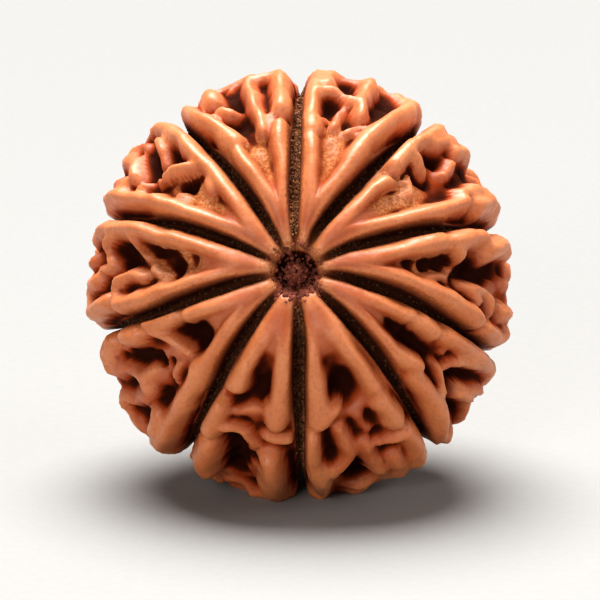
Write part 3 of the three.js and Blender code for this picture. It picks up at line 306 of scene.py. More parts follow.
@dataclass(frozen=True)
class SeedFrame:
    """The smooth body at crest level, and how the seed lies."""

    equator_radius: float = 12.7
    taller: float = 1.015
    pole_half_height: float = 10.4
    axis_tilt: float = 19.0
    middle: tuple[float, float, float] = (0.074, 0.011, 11.72)

    def ring(self, u: Array) -> Array:
        """Distance from the axis at u degrees from the stalk pole."""
        return self.equator_radius * np.sin(np.radians(u))

    def crest(self, u: Array, phi: Array) -> Array:
        """Points at crest level, u degrees from the stalk pole and phi clockwise from the top."""
        ring, a = self.ring(u), np.radians(phi)
        return np.stack([ring * np.sin(a), self.taller * ring * np.cos(a),
                         self.pole_half_height * np.cos(np.radians(u))], -1)

    def outward(self, u: Array, phi: Array) -> Array:
        """Unit normals of the crest body."""
        s, a = np.sin(np.radians(u)), np.radians(phi)
        n = np.stack([s * np.sin(a) / self.equator_radius,
                      s * np.cos(a) / (self.taller * self.equator_radius),
                      np.cos(np.radians(u)) / self.pole_half_height], -1)
        return n / np.linalg.norm(n, axis=-1, keepdims=True)

    def turned(self, points: Any) -> Array:
        """Turns points or directions from the seed's own frame to the way it lies, about the same middle."""
        t = math.radians(self.axis_tilt)
        x, y, z = np.asarray(points, float).T
        return np.stack([x, y * math.sin(t) - z * math.cos(t), y * math.cos(t) + z * math.sin(t)], -1)

    def lying(self, points: Array) -> Array:
        """Turns points from the seed's own frame to the frame it lies in, still in millimetres."""
        return self.turned(points) + np.array(self.middle)


@dataclass(frozen=True)
class Furrows:
    """The long furrows that part the lobes."""

    lines: list[Line] = field(default_factory=lambda: FURROW_LINES)
    half_width: Line = field(default_factory=lambda: FURROW_HALF_WIDTH)
    width_factor: tuple[float, ...] = (0.95, 1.05, 0.92, 1.0, 1.0, 1.08, 1.0, 1.0, 0.78, 0.88)
    depth_factor: tuple[float, ...] = (0.72, 0.95, 1, 1, 1, 1, 1, 1, 1, 0.9)
    # Pale dust in each furrow: partly real dust, partly painted light, highest in the furrows at 12 and 6
    # o'clock that run along the light.
    dust_and_light: tuple[float, ...] = (1.0, 0.15, 0.1, 0.05, 0.1, 0.55, 0.2, 0.1, 0.1, 0.25)
    dust_and_light_reach: float = 0.7
    depth: float = 2.1
    edge_rounding: float = 0.32
    shoulder: float = 1.05
    shoulder_reach: float = 1.35
    side_reach: float = 1.6

    @property
    def count(self) -> int:
        """How many furrows there are."""
        return len(self.lines)

    def angle(self, k: int, u: Array) -> Array:
        """Clock angle of furrow k; past the equator it runs on as a mirror of the near half."""
        line = np.array(self.lines[k % self.count], float)
        u = np.asarray(u, float)
        near = np.interp(np.where(u <= 90, u, 180 - u), line[:, 0], line[:, 1])
        w = np.clip((u - 80) / 30, 0, 1)
        return near * (1 - w) + (2 * line[-1, 1] - near) * w + 360 * (k // self.count)

    def turn_from(self, k: int, u: Array, phi: Array) -> Array:
        """Degrees round the axis from furrow k to each place, from -180 to 180."""
        return (phi - self.angle(k, u) + 180) % 360 - 180

    def width_at(self, k: int, um: Array) -> Array:
        """Half width of furrow k's floor, um degrees from the nearer pole."""
        table = np.array(self.half_width, float)
        return np.interp(um, table[:, 0], table[:, 1]) * self.width_factor[k % self.count]

    def dust_and_light_at(self, u: Array, phi: Array, ring: Array) -> Array:
        """How much pale dust the nearest furrow shows, from 0 to 1, on rings of the given radii: partly real
        dust, partly painted light where a furrow runs along the light.
        """
        share = np.zeros(len(u))
        for k, dust_and_light in enumerate(self.dust_and_light):
            near = np.abs(np.radians(self.turn_from(k, u, phi))) * ring < self.dust_and_light_reach
            share = np.where(near, np.maximum(share, dust_and_light), share)
        return share


@dataclass(frozen=True)
class Strand:
    """A ridge, or a hollow of the belt, laid out in space, with the box that it can reach."""

    points: Array
    widths: Array
    level: float
    low: Array
    high: Array

    def near(self, p: Array) -> Array:
        """Numbers of the places inside the box."""
        return np.flatnonzero(np.all((p > self.low) & (p < self.high), axis=1))

    def reach_to(self, p: Array) -> Array:
        """Distance from places to the middle line, in half widths of the strand there."""
        best = np.full(len(p), 9.0)
        ends = zip(self.points[:-1], self.points[1:], self.widths[:-1], self.widths[1:])
        for a, b, wa, wb in ends:
            ab = b - a
            t = np.clip(((p - a) @ ab) / max(float(ab @ ab), 1e-9), 0, 1)
            d = np.linalg.norm(p - a - t[:, None] * ab, axis=1)
            best = np.minimum(best, d / (wa + (wb - wa) * t))
        return best


@dataclass
class Relief:
    """The ridges, pits and furrows as a height over the crest body, and where the furrows are.

    Lengths are in millimetres. A range of two numbers is in degrees from a pole, unless its name says
    otherwise, and what it governs sets in softly from the first to the second.
    """

    frame: SeedFrame
    furrows: Furrows
    floor_depth: float = 1.45
    floor_start: Range = (15, 31)
    tip_floor: float = 0.63
    full_floor: Range = (38, 54)
    belt_rise: float = 0.12
    belt_rise_start: Range = (60, 82)
    pit_slope_in_radii: Range = (0.35, 1.5)
    reach: float = 1.02
    skirt_reach: float = 1.9
    skirt_share: float = 0.12
    blend: float = 0.16
    waviness: float = 0.16
    wavy_start: Range = (16, 34)
    wavier: float = 2.2
    wavier_start: Range = (66, 88)
    swelling: float = 0.18
    swelling_start: Range = (18, 40)
    squeeze: float = 0.87
    squeeze_start: Range = (15, 45)
    belt: Range = (90, 117)
    belt_ragged: float = 9.0
    belt_fade: float = 12.0
    belt_level: float = -0.22
    belt_swelling: float = 0.36
    hollow_rows: int = 4
    hollows_across: int = 3
    hollow_half_width: Range = (0.45, 0.72)
    hollow_half_length: Range = (0.1, 0.8)
    hollow_depth: Range = (0.7, 1.4)
    hollow_slope_in_widths: Range = (0.1, 1.55)
    furrow_start: Range = (5, 24)
    shoulder_start: Range = (50, 80)
    furrow_wall_in_widths: Range = (0.6, 1.9)
    furrow_floor_in_widths: Range = (0.75, 1.25)
    tip_roundness: float = 0.5
    tip_end: Range = (14, 34)
    pit_radius: float = 1.3
    pit_depth: float = 1.6
    knob_radius: float = 0.77
    knob_height: float = 1.15
    knob_grain: float = 0.16
    dimple_radii: Range = (1.2, 5.5)
    dimple_depth: float = 0.55

    def __post_init__(self) -> None:
        """Lays every ridge and pit once."""
        self.ridges = [self._strand(*row) for row in self._all_ridges()]
        self.hollows = [self._strand(*row) for row in self._belt_hollows()]
        self.pits = self._all_pits()

    def _far_place(self, source: int, k: int, u: float, phi: float) -> list[float]:
        """Where a place of one lobe of the near half falls on lobe k of the far half."""
        a, b = float(self.furrows.angle(source, u)), float(self.furrows.angle(source + 1, u))
        s = (phi - a) / (b - a)
        if s > 1.4:
            s = (phi - 360 - a) / (b - a)
        if k % 2 == 0:
            s = 1 - s
        low, high = self.squeeze_start
        far = 180 - (u + (u * self.squeeze - u) * min(1.0, max(0.0, (u - low) / (high - low))))
        a2, b2 = float(self.furrows.angle(k, far)), float(self.furrows.angle(k + 1, far))
        return [far, a2 + s * (b2 - a2)]

    def _far_rows(self, table: list[Any]) -> Iterator[tuple[int, int, Any]]:
        """What each lobe k of the far half takes over from a near-half table: the row's lobe, k, the row."""
        count = self.furrows.count
        for k in range(count):
            source = (k * 3 + 4) % count
            for row in table:
                if row[0] == source:
                    yield source, k, row

    def _all_ridges(self) -> list[tuple[float, float, float, Line]]:
        """The near half's ridges, and the far half's made from them."""
        near = [(w0, w1, level, line) for _, w0, w1, level, line in RIDGES]
        far = [(w0, w1, level, [self._far_place(source, k, *place) for place in line])
               for source, k, (_, w0, w1, level, line) in self._far_rows(RIDGES)]
        return near + far

    def _all_pits(self) -> list[tuple[Array, float, float]]:
        """Centres, radii and depths of the pits on both halves."""
        near = [(self.frame.crest(u, phi), r, depth) for _, u, phi, r, depth in PITS]
        far = [(self.frame.crest(*self._far_place(source, k, u, phi)), r, depth)
               for source, k, (_, u, phi, r, depth) in self._far_rows(PITS)]
        return near + far

    def _belt_hollows(self) -> list[tuple[float, float, float, Line]]:
        """The hollows of the belt: half width at either end, depth, and the middle line."""
        out: list[tuple[float, float, float, Line]] = []
        low, high = self.belt
        for cell in range(self.furrows.count * self.hollow_rows * self.hollows_across):
            k, row = divmod(cell // self.hollows_across, self.hollow_rows)
            n = 600 + 8 * cell
            u = low + (high - low) / self.hollow_rows * (row + 0.5 + pick(n, -0.3, 0.3))
            s = cell % self.hollows_across + 0.25 + 0.5 * (row % 2) + pick(n + 1, -0.2, 0.2)
            a, b = float(self.furrows.angle(k, u)), float(self.furrows.angle(k + 1, u))
            phi = a + (0.15 + 0.7 * (s / self.hollows_across)) * (b - a)
            lean, half = pick(n + 2, -1.2, 1.2), pick(n + 3, *self.hollow_half_length)
            du = math.degrees(half * math.cos(lean) / self.frame.pole_half_height)
            dphi = math.degrees(half * math.sin(lean) / self.frame.equator_radius)
            width = pick(n + 4, *self.hollow_half_width)
            out.append((width, 0.8 * width, pick(n + 5, *self.hollow_depth),
                        [[u - du, phi - dphi], [u + du, phi + dphi]]))
        return out

    def _strand(self, w0: float, w1: float, level: float, line: Line) -> Strand:
        """One ridge or hollow laid out in space, its corners cut twice so that it bends softly."""
        c = np.array(line, float)
        if len(c) > 2:
            for _ in range(2):
                q = np.empty((2 * (len(c) - 1), 2))
                q[0::2] = 0.75 * c[:-1] + 0.25 * c[1:]
                q[1::2] = 0.25 * c[:-1] + 0.75 * c[1:]
                c = np.vstack([c[:1], q, c[-1:]])
        points = self.frame.crest(c[:, 0], c[:, 1])
        run = np.concatenate([[0.0], np.cumsum(np.linalg.norm(np.diff(points, axis=0), axis=1))])
        widths = w0 + (w1 - w0) * run / max(run[-1], 1e-6)
        margin = max(w0, w1) * self.skirt_reach + 0.05
        return Strand(points, widths, level, points.min(0) - margin, points.max(0) + margin)

    def _hollow_depth(self, p: Array) -> Array:
        """How deep the belt's hollows are at each place."""
        depth = np.zeros(len(p))
        for hollow in self.hollows:
            near = hollow.near(p)
            dent = hollow.level * (1 - smoothstep(*self.hollow_slope_in_widths, hollow.reach_to(p[near])))
            depth[near] = soft_max(depth[near], dent, 0.1)
        return depth

    def _floor(self, p: Array, um: Array) -> Array:
        """Height of the floor between the ridges, with its pits."""
        floor = -self.floor_depth * smoothstep(*self.floor_start, um) * (1 + 0.12 * noise(p, 0.8, 1))
        floor *= self.tip_floor + (1 - self.tip_floor) * smoothstep(*self.full_floor, um)
        floor *= 1 - self.belt_rise * smoothstep(*self.belt_rise_start, um)
        low, high = self.pit_slope_in_radii
        for centre, r, depth in self.pits:
            near = np.flatnonzero(np.all(np.abs(p - centre) < high * r, axis=1))
            d = np.linalg.norm(p[near] - centre, axis=1) / r
            floor[near] -= depth * (1 - smoothstep(low, high, d))
        return floor

    def _ridge_tops(self, p: Array, floor: Array) -> Array:
        """How far the ridges stand over the floor."""
        top = np.zeros(len(p))
        for ridge in self.ridges:
            near = ridge.near(p)
            q = ridge.reach_to(p[near])
            share = (1 - self.skirt_share) * np.maximum(0, 1 - (q / self.reach) ** 2) ** 0.55
            share += self.skirt_share * np.maximum(0, 1 - (q / self.skirt_reach) ** 2) ** 2
            h = np.maximum(0, (-(1 - ridge.level) * self.floor_depth - floor[near]) * share)
            top[near] = soft_max(top[near], h, self.blend * np.minimum(1, h / 0.3))
        return top

    def _between_furrows(self, place: Array, u: Array, um: Array) -> Array:
        """Height of floor, pits and ridges before the furrows are cut."""
        amount = self.waviness * smoothstep(*self.wavy_start, um)
        amount *= 1 + self.wavier * smoothstep(*self.wavier_start, u)
        wander = [noise(place, 0.75, 3 + i) + 0.2 * noise(place, 1.9, 6 + i) for i in range(3)]
        p = place + amount[:, None] * np.stack(wander, -1)
        floor = self._floor(p, um)
        top = self._ridge_tops(p, floor)
        (low, high), fade = self.belt, self.belt_fade / 2
        ragged = u + self.belt_ragged * noise(place, 0.42, 41)
        belt = smoothstep(low - fade, low + fade, ragged) * (1 - smoothstep(high - fade, high + fade, ragged))
        height = (floor + top) * (1 - belt) + belt * (self.belt_level - self._hollow_depth(p))
        swelling = self.swelling + (self.belt_swelling - self.swelling) * belt
        lumps = noise(place, 0.55, 11) + 0.4 * noise(place, 1.6, 12)
        return height + swelling * lumps * smoothstep(*self.swelling_start, um)

    def heights(self, u: Array, phi: Array) -> tuple[Array, Array]:
        """Height over crest level, and how deep in a furrow each place is.

        Args:
            u: degrees from the stalk pole.
            phi: clock angles, clockwise from the top.

        Returns:
            Heights in millimetres, nearly all below zero, and a 0 to 1 share that is 1 on a furrow's floor.
        """
        place = self.frame.crest(u, phi)
        um = np.where(u <= 90, u, 180 - u)
        ring = self.frame.ring(um)
        height = self._between_furrows(place, u, um)
        height, in_furrow = self._cut_furrows(height, u, um, phi, ring)
        height -= self.dimple_depth * (1 - smoothstep(*self.dimple_radii, ring))
        pit = self.pit_depth * (1 - smoothstep(0.75 * self.pit_radius, 1.3 * self.pit_radius, ring))
        near_end = u <= 90
        height -= np.where(near_end, pit, 0.5 * pit)
        dome = np.sqrt(np.maximum(0, 1 - (ring / self.knob_radius) ** 2))
        knob = self.knob_height * dome * (1 + self.knob_grain * noise(place, 2.6, 21))
        height += np.where(near_end & (ring < self.knob_radius), knob, 0)
        return height, in_furrow * smoothstep(5, 12, um)

    def _cut_furrows(self, height: Array, u: Array, um: Array, phi: Array,
                     ring: Array) -> tuple[Array, Array]:
        """Heights with the furrows cut in, and the share that is 1 on a furrow's floor."""
        furrows = self.furrows
        half_lobe = math.pi / furrows.count
        depth = furrows.depth * smoothstep(*self.furrow_start, um) + 0.1
        shoulder = furrows.shoulder * (0.22 + 0.78 * smoothstep(*self.shoulder_start, um))
        lean = self.tip_roundness * (1 - smoothstep(*self.tip_end, um)) / half_lobe ** 2
        in_furrow = np.zeros(len(u))
        for k in range(furrows.count):
            turn = furrows.turn_from(k, u, phi)
            d = np.abs(np.radians(turn)) * ring
            side = np.maximum(0, half_lobe - np.abs(np.radians(turn)))
            height = height - lean * side * side
            near = np.flatnonzero((d <= furrows.side_reach) & (np.abs(turn) <= 40))
            w = furrows.width_at(k, um[near])
            height[near] -= shoulder[near] * np.maximum(0, 1 - d[near] / furrows.shoulder_reach) ** 2
            bottom = depth[near] * furrows.depth_factor[k]
            wall = -bottom + (bottom + 0.6) * smoothstep(*self.furrow_wall_in_widths, d[near] / w)
            both = np.maximum(0, furrows.edge_rounding - np.abs(height[near] - wall))
            height[near] = np.minimum(height[near], wall) - both * both / (4 * furrows.edge_rounding)
            floor = 1 - smoothstep(*self.furrow_floor_in_widths, d[near] / w)
            in_furrow[near] = np.maximum(in_furrow[near], floor)
        return height, in_furrow


def srgb(code: str) -> tuple[float, float, float, float]:
    """Turns an sRGB hex colour such as "#C8713F" to linear, with full alpha."""
    values = [int(code[i:i + 2], 16) / 255 for i in (1, 3, 5)]
    return (*[v / 12.92 if v <= 0.04045 else ((v + 0.055) / 1.055) ** 2.4 for v in values], 1.0)


def add_node(tree: Tree, kind: str, inputs: dict[Any, Any] | None = None, **settings: Any) -> bpy.types.Node:
    """Adds a node with its settings and links.

    Args:
        tree: the node tree that gets it.
        kind: the node type's own name.
        inputs: socket name or number to a value, or to the output socket that feeds it.
        **settings: properties of the node itself.

    Returns:
        The new node.
    """
    node = tree.nodes.new(kind)
    for name, value in settings.items():
        setattr(node, name, value)
    for key, value in (inputs or {}).items():
        if isinstance(value, bpy.types.NodeSocket):
            tree.links.new(value, node.inputs[key])
        else:
            node.inputs[key].default_value = value
    return node


def blend_colour(tree: Tree, share: Any, first: Any, second: Any) -> Socket:
    """Mixes two colours by a share and returns the result's socket."""
    mix = add_node(tree, "ShaderNodeMix", {0: share, 6: first, 7: second}, data_type="RGBA")
    return mix.outputs[2]


def work_out(tree: Tree, operation: str, *values: Any) -> Socket:
    """Does one sum on sockets or numbers and returns the result's socket."""
    return add_node(tree, "ShaderNodeMath", dict(enumerate(values)), operation=operation).outputs[0]


def span(tree: Tree, value: Any, low: float, high: float, to_low: float, to_high: float) -> Socket:
    """Maps a value from one range softly to another and returns the result's socket."""
    ends = {0: value, 1: low, 2: high, 3: to_low, 4: to_high}
    return add_node(tree, "ShaderNodeMapRange", ends, interpolation_type="SMOOTHSTEP").outputs[0]


def mark(tree: Tree, name: str) -> Socket:
    """The socket of a number that the mesh carries at every vertex."""
    return add_node(tree, "ShaderNodeAttribute", attribute_name=name).outputs["Fac"]


def blobs(tree: Tree, size: float, detail: float, roughness: float = 0.5) -> Socket:
    """Noise that stands still on the object, its blobs about size millimetres across."""
    place = add_node(tree, "ShaderNodeTexCoord").outputs["Object"]
    inputs = {"Vector": place, "Scale": 1 / (size * MM), "Detail": detail, "Roughness": roughness}
    return add_node(tree, "ShaderNodeTexNoise", inputs).outputs[0]


def new_material(name: str) -> tuple[bpy.types.Material, Tree, bpy.types.Node]:
    """Makes an empty node material and returns it with its tree and its main shader."""
    material = bpy.data.materials.new(name)
    material.use_nodes = True
    tree = material.node_tree
    tree.nodes.clear()
    shader = add_node(tree, "ShaderNodeBsdfPrincipled")
    add_node(tree, "ShaderNodeOutputMaterial", {"Surface": shader.outputs[0]})
    return material, tree, shader


@dataclass(frozen=True)
class OiledStoneFinish:
    """Oiled woody stone: the hard shell of the fruit, cleaned, dried and rubbed with oil.

    The eye gets a warm orange-brown with a soft satin gloss, a painted highlight along the ridge tops and
    painted shade on their sides, painted shade in the hollows and pits over a slightly darker patina, painted
    shade in the furrows, pale floors in the upper tip valleys and paler dust in the furrows that run along
    the light, both painted light, and a fine sandy grain on the floors that no rubbing reaches.
    """

    crest: str = "#B25D2F"
    crest_light: str = "#C2764A"
    # painted highlight: a paler tone along the ridge tops, where light would catch them
    crest_highlight: str = "#CC8353"
    # painted shade: a darker tone for the ridge sides off their tops and for shallow hollows
    shaded_flank: str = "#943F19"
    # painted shade in the hollows, over a slightly darker patina
    hollow: str = "#57200B"
    # painted shade, near black, in the deepest pits and creases
    pit: str = "#2E0E03"
    # painted light: pale sandy floors in the upper tip valleys, where light from above falls, over real sandy
    # grain
    valley: str = "#C98A5C"
    valley_grain: str = "#9C5A30"
    # painted shade: a near-black floor for the furrows, lightened only where the pale dust is kept
    furrow: str = "#3A1C0C"
    # painted shade on the furrow walls
    furrow_wall_shade: str = "#6B2E12"
    # paler grit tone, shown most in the furrows painted as lit
    lit_furrow_grain: str = "#80502E"
    freckle: str = "#8E3F1A"
    mottle_size: float = 2.6
    freckle_size: float = 0.24
    grain_size: float = 0.16
    pore_size: float = 0.4
    noise_roughness: float = 0.6
    ior: float = 1.5
    roughness: Range = (0.5, 0.85)
    shine: Range = (0.5, 0.06)
    bump_strength: float = 0.55
    bump_height: float = 0.09
    glow: float = 0.10
    glow_colours: tuple[float, float, float] = (1.0, 0.32, 0.14)
    glow_reach: float = 0.7

    def material(self) -> bpy.types.Material:
        """Builds the node material, whose marks are numbers from 0 to 1 that the stone's mesh carries."""
        material, tree, shader = new_material("oiled_woody_stone")
        marks = {name: mark(tree, name) for name in ("hollow", "valley", "furrow", "side", "crest_highlight", "dust_and_light")}
        marks["grain"] = blobs(tree, self.grain_size, 2.0, self.noise_roughness)
        marks["pores"] = blobs(tree, self.pore_size, 4.0, self.noise_roughness)
        tree.links.new(self._colour(tree, marks), shader.inputs["Base Color"])

        wear = work_out(tree, "MAXIMUM", span(tree, marks["hollow"], 0.05, 0.5, 0, 1), marks["furrow"])
        rough = span(tree, wear, 0, 1, *self.roughness)
        rough = work_out(tree, "ADD", rough, span(tree, marks["crest_highlight"], 0.2, 1.0, 0.03, -0.07))
        rough = work_out(tree, "ADD", rough, span(tree, marks["pores"], 0.3, 0.7, -0.05, 0.07))
        tree.links.new(rough, shader.inputs["Roughness"])
        tree.links.new(span(tree, wear, 0, 1, *self.shine), shader.inputs["Specular IOR Level"])
        tree.links.new(self._bump(tree, marks), shader.inputs["Normal"])
        shader.inputs["IOR"].default_value = self.ior
        shader.inputs["Subsurface Weight"].default_value = self.glow
        shader.inputs["Subsurface Radius"].default_value = self.glow_colours
        shader.inputs["Subsurface Scale"].default_value = self.glow_reach * MM
        return material

    def _colour(self, tree: Tree, marks: dict[str, Socket]) -> Socket:
        """Colour in layers: crests with a painted highlight on their tops and painted shade on their sides,
        freckles, painted shade in the hollows and pits, sandy floors painted pale where lit, and furrows with
        painted shade on their walls and floors and paler dust where lit.
        """
        hollow, crest_highlight, grain = marks["hollow"], marks["crest_highlight"], marks["grain"]
        mottle = blobs(tree, self.mottle_size, 3.0, self.noise_roughness)
        freckles = blobs(tree, self.freckle_size, 1.0, self.noise_roughness)
        # painted light: pale sand only on the upper, shallow floors
        pale_lit_floor = work_out(tree, "MULTIPLY", marks["valley"], span(tree, hollow, 0.35, 0.65, 0.9, 0.0))
        sand_share = span(tree, grain, 0.34, 0.68, 0, 1)
        sand = blend_colour(tree, sand_share, srgb(self.valley_grain), srgb(self.valley))
        # side: nearness to a furrow floor, for painted shade on the furrow walls
        side = work_out(tree, "ADD", marks["side"], span(tree, grain, 0.3, 0.7, -0.12, 0.12))
        # painted light: paler grain specks in the furrows that the light runs along
        speck = work_out(tree, "MULTIPLY", span(tree, grain, 0.4, 0.64, 0, 1), marks["dust_and_light"])
        furrow_shade_and_lit_dust = blend_colour(tree, speck, srgb(self.furrow), srgb(self.lit_furrow_grain))
        layers = [
            (span(tree, mottle, 0.35, 0.7, 0, 1), srgb(self.crest_light)),
            # painted shade on the ridge sides, away from their tops
            (span(tree, crest_highlight, 0.0, 0.45, 0.5, 0.0), srgb(self.shaded_flank)),
            # painted highlight on the ridge tops
            (span(tree, crest_highlight, 0.5, 1.0, 0, 0.45), srgb(self.crest_highlight)),
            (span(tree, freckles, 0.45, 0.8, 0, 0.3), srgb(self.freckle)),
            # painted shade in the shallow hollows
            (span(tree, hollow, 0.05, 0.34, 0, 1), srgb(self.shaded_flank)),
            # painted shade in the deeper hollows, over a slightly darker patina
            (span(tree, hollow, 0.3, 0.72, 0, 1), srgb(self.hollow)),
            (pale_lit_floor, sand),
            # painted shade in the deepest pits
            (span(tree, hollow, 0.52, 1.0, 0, 1), srgb(self.pit)),
            # painted shade on the furrow walls
            (span(tree, side, 0.08, 0.6, 0, 0.85), srgb(self.furrow_wall_shade)),
            # furrow floors: painted shade, with paler dust painted as lit in some furrows
            (marks["furrow"], furrow_shade_and_lit_dust),
        ]
        colour: Any = srgb(self.crest)
        for share, tone in layers:
            colour = blend_colour(tree, share, colour, tone)
        return colour

    def _bump(self, tree: Tree, marks: dict[str, Socket]) -> Socket:
        """Pores everywhere, and grain that is coarse on the floors and in the furrows."""
        floors = work_out(tree, "MULTIPLY", marks["valley"], 0.5)
        coarse = work_out(tree, "ADD", floors, work_out(tree, "MULTIPLY", marks["furrow"], 0.8))
        gritty = work_out(tree, "MULTIPLY", marks["grain"], work_out(tree, "ADD", coarse, 0.16))
        relief = work_out(tree, "ADD", gritty, work_out(tree, "MULTIPLY", marks["pores"], 0.8))
        inputs = {"Height": relief, "Strength": self.bump_strength, "Distance": self.bump_height * MM}
        return add_node(tree, "ShaderNodeBump", inputs).outputs[0]


@dataclass(frozen=True)
class CrumbFinish:
    """Dry crumb: bits of stalk and pulp left in the stalk end and in the furrows.

    The eye gets dull, dark grains, each a little different in tone, with no gloss, and, where asked,
    grains painted paler in the furrows that the light runs along.
    """

    name: str
    dark: str
    light: str
    pale_where_dusty_and_lit: bool = False
    roughness: float = 0.78
    shine: float = 0.3
    ior: float = 1.5
    speckle_size: float = 0.08
    bump_strength: float = 0.4
    bump_height: float = 0.04

    def material(self) -> bpy.types.Material:
        """Builds the node material."""
        material, tree, shader = new_material(self.name)
        fine = blobs(tree, self.speckle_size, 2.0)
        tint = work_out(tree, "MULTIPLY", mark(tree, "tint"), 0.75)
        share = work_out(tree, "ADD", tint, work_out(tree, "MULTIPLY", fine, 0.3))
        # painted light: grains paler in the furrows that run along the light, darker in the shaded ones
        if self.pale_where_dusty_and_lit:
            share = work_out(tree, "MULTIPLY", share, span(tree, mark(tree, "dust_and_light"), 0.0, 1.0, 0.22, 1.0))
        colour = blend_colour(tree, share, srgb(self.dark), srgb(self.light))
        tree.links.new(colour, shader.inputs["Base Color"])
        inputs = {"Height": fine, "Strength": self.bump_strength, "Distance": self.bump_height * MM}
        tree.links.new(add_node(tree, "ShaderNodeBump", inputs).outputs[0], shader.inputs["Normal"])
        shader.inputs["Roughness"].default_value = self.roughness
        shader.inputs["Specular IOR Level"].default_value = self.shine
        shader.inputs["IOR"].default_value = self.ior
        return material


class NodeShape:
    """A Geometry Nodes tree with named inputs, put on a mesh and baked to a plain one."""

    def __init__(self, name: str, sizes: dict[str, float]) -> None:
        """Starts a tree whose inputs are the named sizes.

        Args:
            name: the tree's name.
            sizes: input name to the value that the modifier is given.
        """
        self.tree = bpy.data.node_groups.new(name, "GeometryNodeTree")
        face = self.tree.interface
        face.new_socket("Geometry", in_out="INPUT", socket_type="NodeSocketGeometry")
        face.new_socket("Geometry", in_out="OUTPUT", socket_type="NodeSocketGeometry")
        self.sizes = sizes
        self.sockets = {key: face.new_socket(key, in_out="INPUT", socket_type="NodeSocketFloat")
                        for key in sizes}
        self.start = add_node(self.tree, "NodeGroupInput").outputs

    def attribute(self, name: str) -> Socket:
        """The socket of a named number on the mesh."""
        node = add_node(self.tree, "GeometryNodeInputNamedAttribute", {"Name": name}, data_type="FLOAT")
        return node.outputs[0]

    def random(self, low: Any, high: Any, seed: int) -> Socket:
        """A seeded random number for each element."""
        node = add_node(self.tree, "FunctionNodeRandomValue", {2: low, 3: high, 8: seed}, data_type="FLOAT")
        return node.outputs[1]

    def close(self, geometry: Socket, material: bpy.types.Material) -> None:
        """Ends the tree: instances made real, and the material set."""
        real = add_node(self.tree, "GeometryNodeRealizeInstances", {0: geometry}).outputs[0]
        smooth = add_node(self.tree, "GeometryNodeSetShadeSmooth", {0: real}).outputs[0]
        dressed = add_node(self.tree, "GeometryNodeSetMaterial", {0: smooth, "Material": material}).outputs[0]
        add_node(self.tree, "NodeGroupOutput", {0: dressed})

    def bake(self, piece: bpy.types.Object, material: bpy.types.Material) -> None:
        """Runs the tree on a piece and leaves it a plain mesh."""
        modifier = piece.modifiers.new(self.tree.name, "NODES")
        modifier.node_group = self.tree
        for key, value in self.sizes.items():
            modifier[self.sockets[key].identifier] = value
        graph = bpy.context.evaluated_depsgraph_get()
        made = bpy.data.meshes.new_from_object(piece.evaluated_get(graph), depsgraph=graph)
        made.name = piece.name
        piece.modifiers.clear()
        old, piece.data = piece.data, made
        bpy.data.meshes.remove(old)
        if material.name not in [m.name for m in made.materials if m]:
            made.materials.append(material)


def linked(name: str, data: Any) -> bpy.types.Object:
    """Makes an object of a mesh, light or camera, at the origin, unturned, and puts it in the scene."""
    thing = bpy.data.objects.new(name, data)
    bpy.context.scene.collection.objects.link(thing)
    return thing


def new_piece(name: str, vertices: Array, faces: list[Any]) -> bpy.types.Object:
    """Makes a mesh object from vertices in millimetres, at the origin, unturned."""
    mesh = bpy.data.meshes.new(name)
    mesh.from_pydata((vertices * MM).tolist(), [], faces)
    mesh.update()
    return linked(name, mesh)


def give_attribute(piece: bpy.types.Object, name: str, values: Array) -> None:
    """Stores one number for each vertex."""
    layer = piece.data.attributes.new(name, "FLOAT", "POINT")
    layer.data.foreach_set("value", np.ascontiguousarray(values, dtype=np.float32))


